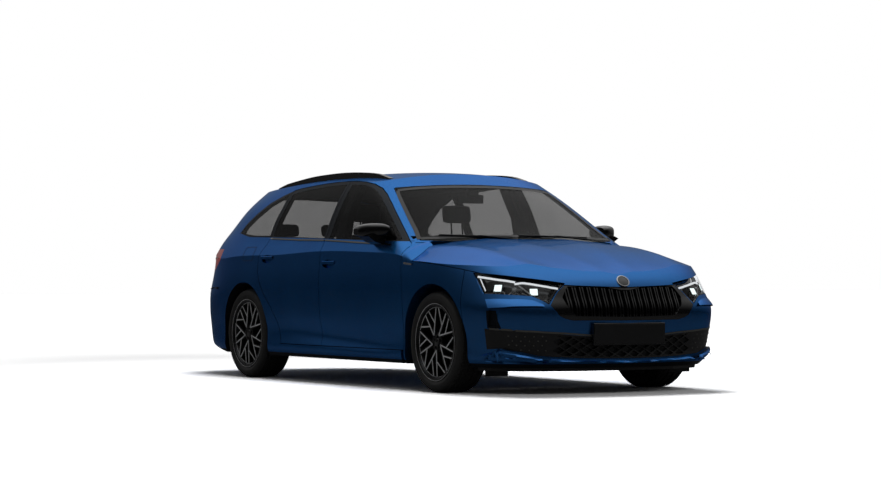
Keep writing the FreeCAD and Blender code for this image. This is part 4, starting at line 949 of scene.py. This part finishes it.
def makeShoulders():
    rows = shoulderLook["rows"]
    for side, sign in sideSign.items():
        mesh = bmesh.new()
        bmesh.ops.create_grid(mesh, x_segments=len(rows) - 1, y_segments=6, size=1.0)
        for vert in mesh.verts:
            half, front, lowZ, highZ = rows[round((vert.co.x + 1) / 2 * (len(rows) - 1))]
            back = (vert.co.y + 1) / 2
            y = front + (shoulderLook["rear"] - front) * back
            z = lowZ + (highZ - lowZ) * back * (1.6 - 0.6 * back)
            vert.co = Vector((half * sign, y, z))
        bmesh.ops.recalc_face_normals(mesh, faces=mesh.faces)
        if max(mesh.faces, key=lambda face: face.calc_area()).normal.z < 0:
            bmesh.ops.reverse_faces(mesh, faces=mesh.faces)
        bmesh.ops.solidify(mesh, geom=mesh.faces[:], thickness=shoulderLook["thick"])
        finishPiece("wing_shoulder_" + side, mesh, paint, "body", 60)
    cowl = bmesh.new()
    points = shoulderLook["cowl"]
    last = len(points) - 1
    bmesh.ops.create_grid(cowl, x_segments=2 * last, y_segments=3, size=1.0)
    for vert in cowl.verts:
        step = round((vert.co.x + 1) * last) - last
        half, z = points[abs(step)]
        back = (vert.co.y + 1) / 2
        y = shoulderLook["cowlFront"] + shoulderLook["cowlLong"] * back
        z += shoulderLook["cowlRise"] * back - shoulderLook["cowlDrop"]
        vert.co = Vector((math.copysign(half, step), y, z))
    bmesh.ops.solidify(cowl, geom=cowl.faces[:], thickness=shoulderLook["cowlThick"])
    finishPiece("cowl", cowl, blackPlastic, "body", 60)


bumperLook = {  # each form: top route, low route, lift at both routes, columns, rows
    "ledge": (
        [(-0.838, -1.985, 0.606), (-0.733, -2.125, 0.604), (-0.616, -2.214, 0.598), (-0.580, -2.245, 0.580)],
        [(-0.830, -2.030, 0.540), (-0.760, -2.120, 0.543), (-0.660, -2.205, 0.546), (-0.566, -2.262, 0.551)],
        (-0.0015, 0.016), 24, 5,
    ),
    "corner blade": (
        [(-0.828, -2.000, 0.258), (-0.779, -2.080, 0.281), (-0.700, -2.170, 0.264), (-0.586, -2.232, 0.243)],
        [(-0.826, -2.000, 0.243), (-0.760, -2.090, 0.239), (-0.689, -2.169, 0.235), (-0.586, -2.237, 0.230)],
        (-0.001, 0.019), 24, 4,
    ),
    "middle blade": (
        [(-0.586, -2.232, 0.243), (-0.465, -2.270, 0.230), (-0.250, -2.310, 0.218), (0.0, -2.330, 0.214)],
        [(-0.586, -2.237, 0.230), (-0.465, -2.270, 0.220), (-0.250, -2.310, 0.210), (0.0, -2.330, 0.207)],
        (-0.001, 0.012), 30, 2,
    ),
    "lip": (
        [(-0.816, -1.968, 0.224), (-0.779, -2.038, 0.216), (-0.685, -2.161, 0.215), (-0.542, -2.243, 0.214)],
        [(-0.816, -1.968, 0.210), (-0.779, -2.038, 0.206), (-0.685, -2.161, 0.205), (-0.542, -2.243, 0.205)],
        (-0.001, 0.010), 24, 2,
    ),
}
seamLook = {
    "flap": ([(-0.90, 1.075, 0.955), (-0.90, 1.230, 0.955), (-0.90, 1.245, 0.940), (-0.90, 1.245, 0.850),
              (-0.90, 1.230, 0.835), (-0.90, 1.090, 0.835), (-0.90, 1.075, 0.850), (-0.90, 1.075, 0.955)],
             (0.0028, 0.0002, 0.0006, 96)),
    "bumper": ([(-0.900, 1.665, 0.6425), (-0.875, 1.750, 0.6425), (-0.849, 1.854, 0.6425),
                (-0.800, 1.990, 0.6425), (-0.740, 2.110, 0.6425), (-0.668, 2.200, 0.6425)],
               (0.016, -0.010, 0.002, 60)),
}


def makeBumperForms():
    skin = skinOf("front_bumper")
    forms = bmesh.new()
    for top, low, lift, columns, rows in bumperLook.values():
        addPatch(forms, skin, top, low, lift, 0.002, columns, rows)
    addMirror(forms)
    finishPiece("bumper_forms", forms, paint, "body", 30)


def makeSeams():
    makeStrip("fuel_flap_line", skinOf("body_shell"), seamLook["flap"], blackPlastic, "body")
    skin = skinOf("rear_bumper", "body_shell")
    makeStrip("bumper_seam", skin, seamLook["bumper"], blackPlastic, "body", True)


makeShoulders()
makeBumperForms()
makeSeams()
print("panels done")


# Cabin

cabinLook = {
    "screen": ((-0.17, -0.690, 0.870), (0.14, -0.676, 1.000)), "screenLean": -10,
    "dialPod": ((0.22, -0.78, 0.915), (0.52, -0.66, 0.985)), "dialLean": 8,
    "dashTop": ((-0.64, -0.70, 0.905), (-0.30, -0.66, 0.935)),
    "consolePod": ((-0.09, -0.62, 0.70), (0.09, -0.575, 0.80)),
    "ventX": (-0.60, -0.15, 0.12, 0.60), "ventBars": 5, "ventPitch": 0.011, "ventHalf": 0.045,
    "wheelPad": (0.124, 0.090, 0.036), "wheelPlace": (0.370, -0.470, 0.860), "wheelLean": -66,
    "doors": {"front": (-0.80, -0.16), "rear": (0.18, 0.62)},
}


def makeCabin():
    screen = bmesh.new()
    addBox(screen, *cabinLook["screen"], tilt(cabinLook["screenLean"]))
    finishPiece("centre_screen", screen, blackGloss, "body", steps=rounded(0.006))
    pods = bmesh.new()
    addBox(pods, *cabinLook["dialPod"], tilt(cabinLook["dialLean"]))
    addBox(pods, *cabinLook["dashTop"])
    addBox(pods, *cabinLook["consolePod"])
    finishPiece("dash_pods", pods, blackPlastic, "body", steps=rounded(0.016, 4))
    vents = bmesh.new()
    half = cabinLook["ventHalf"]
    for x in cabinLook["ventX"]:
        for n in range(cabinLook["ventBars"]):
            z = 0.795 + cabinLook["ventPitch"] * n
            addBox(vents, (x - half, -0.594, z), (x + half, -0.578, z + 0.004))
    finishPiece("vents", vents, greyTrim, "body")
    lever = bmesh.new()
    addRod(lever, (0, -0.42, 0.640), (0, -0.435, 0.700), 0.010, 0.009, 12)
    addBox(lever, (-0.024, -0.465, 0.690), (0.024, -0.405, 0.740))
    finishPiece("selector", lever, leather, "body", steps=rounded(0.012, 4))
    makeWheelPad()
    for side in sideSign:
        for end in cabinLook["doors"]:
            makeDoorTrim(end, side)


def makeWheelPad():
    turn = tilt(cabinLook["wheelLean"])
    pad = bmesh.new()
    addBlock(pad, cabinLook["wheelPad"], Vector(cabinLook["wheelPlace"]) + turn @ Vector((0, 0, 0.004)), turn)
    finishPiece("wheel_pad", pad, leather, "steering_wheel", steps=rounded(0.016, 4))


def makeDoorTrim(end, side):
    sign = sideSign[side]
    front, back = cabinLook["doors"][end]
    body = "%s_door_%s" % (end, side)
    hit = hitOn(skinOf("door_%s_%s" % (end, side)), (0.3 * sign, (front + back) / 2, 0.62), (sign, 0, 0))
    face = hit.x if hit else 0.79 * sign  # the inner face of the door

    def addSlab(mesh, depth, start, stop, low, high):  # from a depth inside the face to just over it
        near, far = sorted((face - sign * depth, face - sign * 0.001))
        addBox(mesh, (near, start, low), (far, stop, high))

    rest = bmesh.new()
    addSlab(rest, 0.050, front, back, 0.600, 0.655)
    addSlab(rest, 0.036, front + 0.02, back - 0.05, 0.345, 0.445)
    name = "arm_rest_%s_%s" % (end, side)
    finishPiece(name, rest, blackPlastic, body, steps=rounded(0.015, 4))
    pull = bmesh.new()
    addSlab(pull, 0.012, front + 0.10, front + 0.195, 0.760, 0.790)
    finishPiece("inner_handle_%s_%s" % (end, side), pull, chrome, body, steps=softEdge)


# Seats: padded pieces

padLook = {
    "voxel": 0.017, "puffSteps": 20, "pressure": 4.0, "cap": 0.012, "seam": 0.007, "seamWide": 0.010,
    "cover": 0.014, "round": 0.38,  # the cover's start lies this much inside, and its corners' share
}
padPlans = [  # name, size, centre, lean in degrees, seams across x, seams across the length, one on each side
    ("front_cushion_%s", (0.480, 0.500, 0.125), (0.370, -0.065, 0.452), 0, (-0.155, 0.155), (0.0,), True),
    ("front_backrest_%s", (0.460, 0.105, 0.600), (0.370, 0.282, 0.748), 18, (-0.145, 0.145), (-0.10,), True),
    ("front_headrest_%s", (0.245, 0.080, 0.145), (0.370, 0.365, 1.170), 8, (), (), True),
    ("rear_cushion", (1.120, 0.480, 0.085), (0.0, 1.150, 0.491), 0, (-0.19, 0.19), (0.05,), False),
    ("rear_backrest", (1.120, 0.095, 0.520), (0.0, 1.440, 0.730), 22, (-0.19, 0.19), (0.08,), False),
    ("rear_headrest_%s", (0.225, 0.070, 0.115), (0.400, 1.540, 1.065), 8, (), (), True),
    ("rear_headrest_middle", (0.225, 0.070, 0.115), (0.0, 1.540, 1.065), 8, (), (), False),
]
seatFrame = {
    "frontX": 0.370, "railHalf": 0.17, "postHalf": 0.045, "rearX": (-0.40, 0.0, 0.40), "rearPostHalf": 0.04,
}


def startPad(name, size):
    mesh = bmesh.new()
    bmesh.ops.create_cube(mesh, size=1.0)
    bmesh.ops.scale(mesh, verts=mesh.verts, vec=[length - padLook["cover"] for length in size])
    bmesh.ops.bevel(
        mesh, geom=mesh.edges[:], offset=min(size) * padLook["round"], segments=5, affect="EDGES",
        profile=0.5, material=-1,
    )
    piece = finishPiece(name, mesh, seatCloth, "body", 180)
    step = piece.modifiers.new("remesh", "REMESH")
    step.mode = "VOXEL"
    step.voxel_size = padLook["voxel"]
    return piece


def pressSeams(data, size, seamsX, seamsLong):  # stitched grooves on both faces of a pad
    flat, long = (2, 1) if size[2] < size[1] else (1, 2)
    reach = max(seamsX) if seamsX else 9
    for vert in data.vertices:
        gaps = [vert.co.x - at for at in seamsX]
        if abs(vert.co.x) < reach:
            gaps += [vert.co[long] - at for at in seamsLong]
        dip = sum(math.exp(-(gap / padLook["seamWide"]) ** 2) for gap in gaps)
        face = abs(vert.co[flat]) / (size[flat] / 2)
        vert.co[flat] -= math.copysign(min(dip, 1.0) * padLook["seam"] * min(1.0, face), vert.co[flat])


def makePads():
    pads = []
    for plan in padPlans:
        name, size, pair = plan[0], plan[1], plan[-1]
        for side, sign in (sideSign.items() if pair else (("", 1),)):
            pads.append((startPad(name % side if pair else name, size), plan, sign))
    settle([piece for piece, plan, sign in pads])
    for piece, (name, size, centre, lean, seamsX, seamsLong, pair), sign in pads:
        pressSeams(piece.data, size, seamsX, seamsLong)
        place = Matrix.Translation((sign * centre[0], centre[1], centre[2]))
        piece.data.transform(place @ tilt(-lean).to_4x4())
        soft = piece.modifiers.new("soft", "SUBSURF")
        soft.levels = soft.render_levels = 1
    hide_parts("front_seats")
    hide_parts("rear_seat")


def settle(pads):
    # Cloth pressure puffs every pad at once; the move of each point is capped and the result kept
    scene = bpy.context.scene
    view = bpy.context.evaluated_depsgraph_get()
    for piece in pads:
        shape = bpy.data.meshes.new_from_object(piece.evaluated_get(view))
        piece.modifiers.clear()
        piece.data = shape
        for face in shape.polygons:
            face.use_smooth = True
    rest = {}
    for piece in pads:
        rest[piece.name] = [vert.co.copy() for vert in piece.data.vertices]
        cloth = piece.modifiers.new("puff", "CLOTH")
        cloth.settings.use_pressure = True
        cloth.settings.uniform_pressure_force = padLook["pressure"]
        cloth.settings.effector_weights.gravity = 0.0
        cloth.settings.quality = 4
        cloth.point_cache.frame_start = 1
        cloth.point_cache.frame_end = padLook["puffSteps"]
    for moment in range(1, padLook["puffSteps"] + 1):
        scene.frame_set(moment)
    view = bpy.context.evaluated_depsgraph_get()
    for piece in pads:
        puffed = [vert.co.copy() for vert in piece.evaluated_get(view).data.vertices]
        piece.modifiers.clear()
        for vert, start, end in zip(piece.data.vertices, rest[piece.name], puffed):
            move = end - start
            vert.co = start + move * min(1.0, padLook["cap"] / max(move.length, 1e-6))
    scene.frame_set(1)


def makeSeatFrames():
    frame = bmesh.new()
    for sign in (1, -1):
        middle = sign * seatFrame["frontX"]
        for x in (middle - seatFrame["railHalf"], middle + seatFrame["railHalf"]):
            addBox(frame, (x - 0.02, -0.28, 0.315), (x + 0.02, 0.17, 0.345))
            addRod(frame, (x, -0.16, 0.34), (x, -0.12, 0.40), 0.012)
            addRod(frame, (x, 0.10, 0.34), (x, 0.12, 0.40), 0.012)
        for x in (middle - seatFrame["postHalf"], middle + seatFrame["postHalf"]):
            addRod(frame, (x, 0.355, 1.02), (x, 0.365, 1.12), 0.006)
    for middle in seatFrame["rearX"]:
        for x in (middle - seatFrame["rearPostHalf"], middle + seatFrame["rearPostHalf"]):
            addRod(frame, (x, 1.528, 0.955), (x, 1.535, 1.03), 0.006)
    finishPiece("seat_frames", frame, steel, "body")


makeEngineBay()
makeCabin()
print("cabin done")
makePads()
makeSeatFrames()
print("seats done")


# Studio

studio = {
    "floorSize": 60.0, "topPower": 150.0, "frontPower": 60.0, "worldPale": 0.025,
    "highGloss": 1.25, "floorGloss": 0.30, "floorPale": 5.4, "behind": 0.35,
    "cameraSpot": (-8.789, -15.026, 0.762), "cameraUp": 0.0094, "cameraTurn": 30.39,  # radians and degrees
    "lensPixels": 2500, "pictureWide": 881,
    "sky": [(0.0, 0.010), (0.17, 0.016), (0.42, 0.13), (0.60, 0.24), (0.76, 0.44), (0.88, 0.78), (1.0, 0.80)],
}


def litBy(shader, *names):  # 1 where the ray is one of these kinds
    path = shader.node("ShaderNodeLightPath")
    rays = [Wire(shader, path.socket.node.outputs[name]) for name in names]
    return sum(rays[1:], rays[0])


def makeFloor():
    plane = bmesh.new()
    bmesh.ops.create_grid(plane, x_segments=1, y_segments=1, size=studio["floorSize"])
    mesh = bpy.data.meshes.new("floor")
    plane.to_mesh(mesh)
    plane.free()
    floor = bpy.data.objects.new("floor", mesh)
    bpy.context.scene.collection.objects.link(floor)
    shader = Shader("pale floor", (0.8, 0.8, 0.8), Roughness=0.9, Emission_Strength=1.0)
    pale = shader.blend(shader.noise(0.6), (0.80,) * 3, (0.84,) * 3)
    seen = litBy(shader, "Is Camera Ray", "Is Transmission Ray")
    reflected = litBy(shader, "Is Glossy Ray")
    tone = shader.blend(reflected, pale, (studio["floorGloss"],) * 3)
    shader.set("Base Color", shader.blend(seen, tone, (studio["floorPale"],) * 3))
    x, y = shader.axes()[:2]
    far = (((x - 0.3) ** 2 + (y * 0.6) ** 2) ** 0.5 - 3.2) * 0.5  # 0 under the car, 1 well away from it
    glow = shader.ramp(far, [(0.0, (0, 0, 0)), (1.0, (1, 1, 1))])
    shader.set("Emission Color", shader.blend(seen, (0, 0, 0), glow))
    mesh.materials.append(shader.material)


def makeWorld():  # white where the camera sees it, a soft sky for reflections, brighter behind the car
    world = bpy.data.worlds.new("studio")
    bpy.context.scene.world = world
    graph = Graph(world)
    x, y, z = graph.axes("Generated")
    height = z + (x * 0.5 + y * 0.86) * studio["behind"]
    sky = graph.ramp(height, [(at, (tone,) * 3) for at, tone in studio["sky"]])
    pairs = (((1, 1, 1, 1), studio["worldPale"]), ((1, 1, 1, 1), 1.0), (sky, studio["highGloss"]))
    plain, white, gloss = [
        graph.node("ShaderNodeBackground", {}, {"Color": colour, "Strength": strength})
        for colour, strength in pairs
    ]
    lit = graph.node("ShaderNodeMixShader", {}, {0: litBy(graph, "Is Glossy Ray"), 1: plain, 2: gloss})
    seen = litBy(graph, "Is Camera Ray", "Is Transmission Ray")
    end = graph.tree.nodes.new("ShaderNodeOutputWorld")
    graph.join(end.inputs["Surface"], graph.node("ShaderNodeMixShader", {}, {0: seen, 1: lit, 2: white}))


def makeLamp(name, spot, target, size, power):
    lamp = bpy.data.lights.new(name, "AREA")
    lamp.shape = "RECTANGLE"
    lamp.size, lamp.size_y = size
    lamp.energy = power
    holder = bpy.data.objects.new(name, lamp)
    holder.location = spot
    holder.visible_glossy = False
    holder.rotation_euler = (Vector(target) - Vector(spot)).to_track_quat("-Z", "Y").to_euler()
    bpy.context.scene.collection.objects.link(holder)


def makeCamera():
    lens = bpy.data.cameras.new("camera")
    lens.sensor_width = 36.0
    lens.lens = studio["lensPixels"] / studio["pictureWide"] * lens.sensor_width
    lens.clip_end = 200.0
    holder = bpy.data.objects.new("camera", lens)
    holder.location = studio["cameraSpot"]
    holder.rotation_euler = (math.pi / 2 + studio["cameraUp"], 0, -math.radians(studio["cameraTurn"]))
    bpy.context.scene.collection.objects.link(holder)
    bpy.context.scene.camera = holder


makeFloor()
makeWorld()
makeLamp("top softbox", (0.3, 0.3, 6.5), (0, 0, 0), (2.6, 5.0), studio["topPower"])
makeLamp("front softbox", (-2.5, -10.0, 4.5), (0, -1.0, 0.6), (6.0, 2.0), studio["frontPower"])
makeCamera()
bpy.context.scene.view_settings.view_transform = "Standard"
print("studio ready")
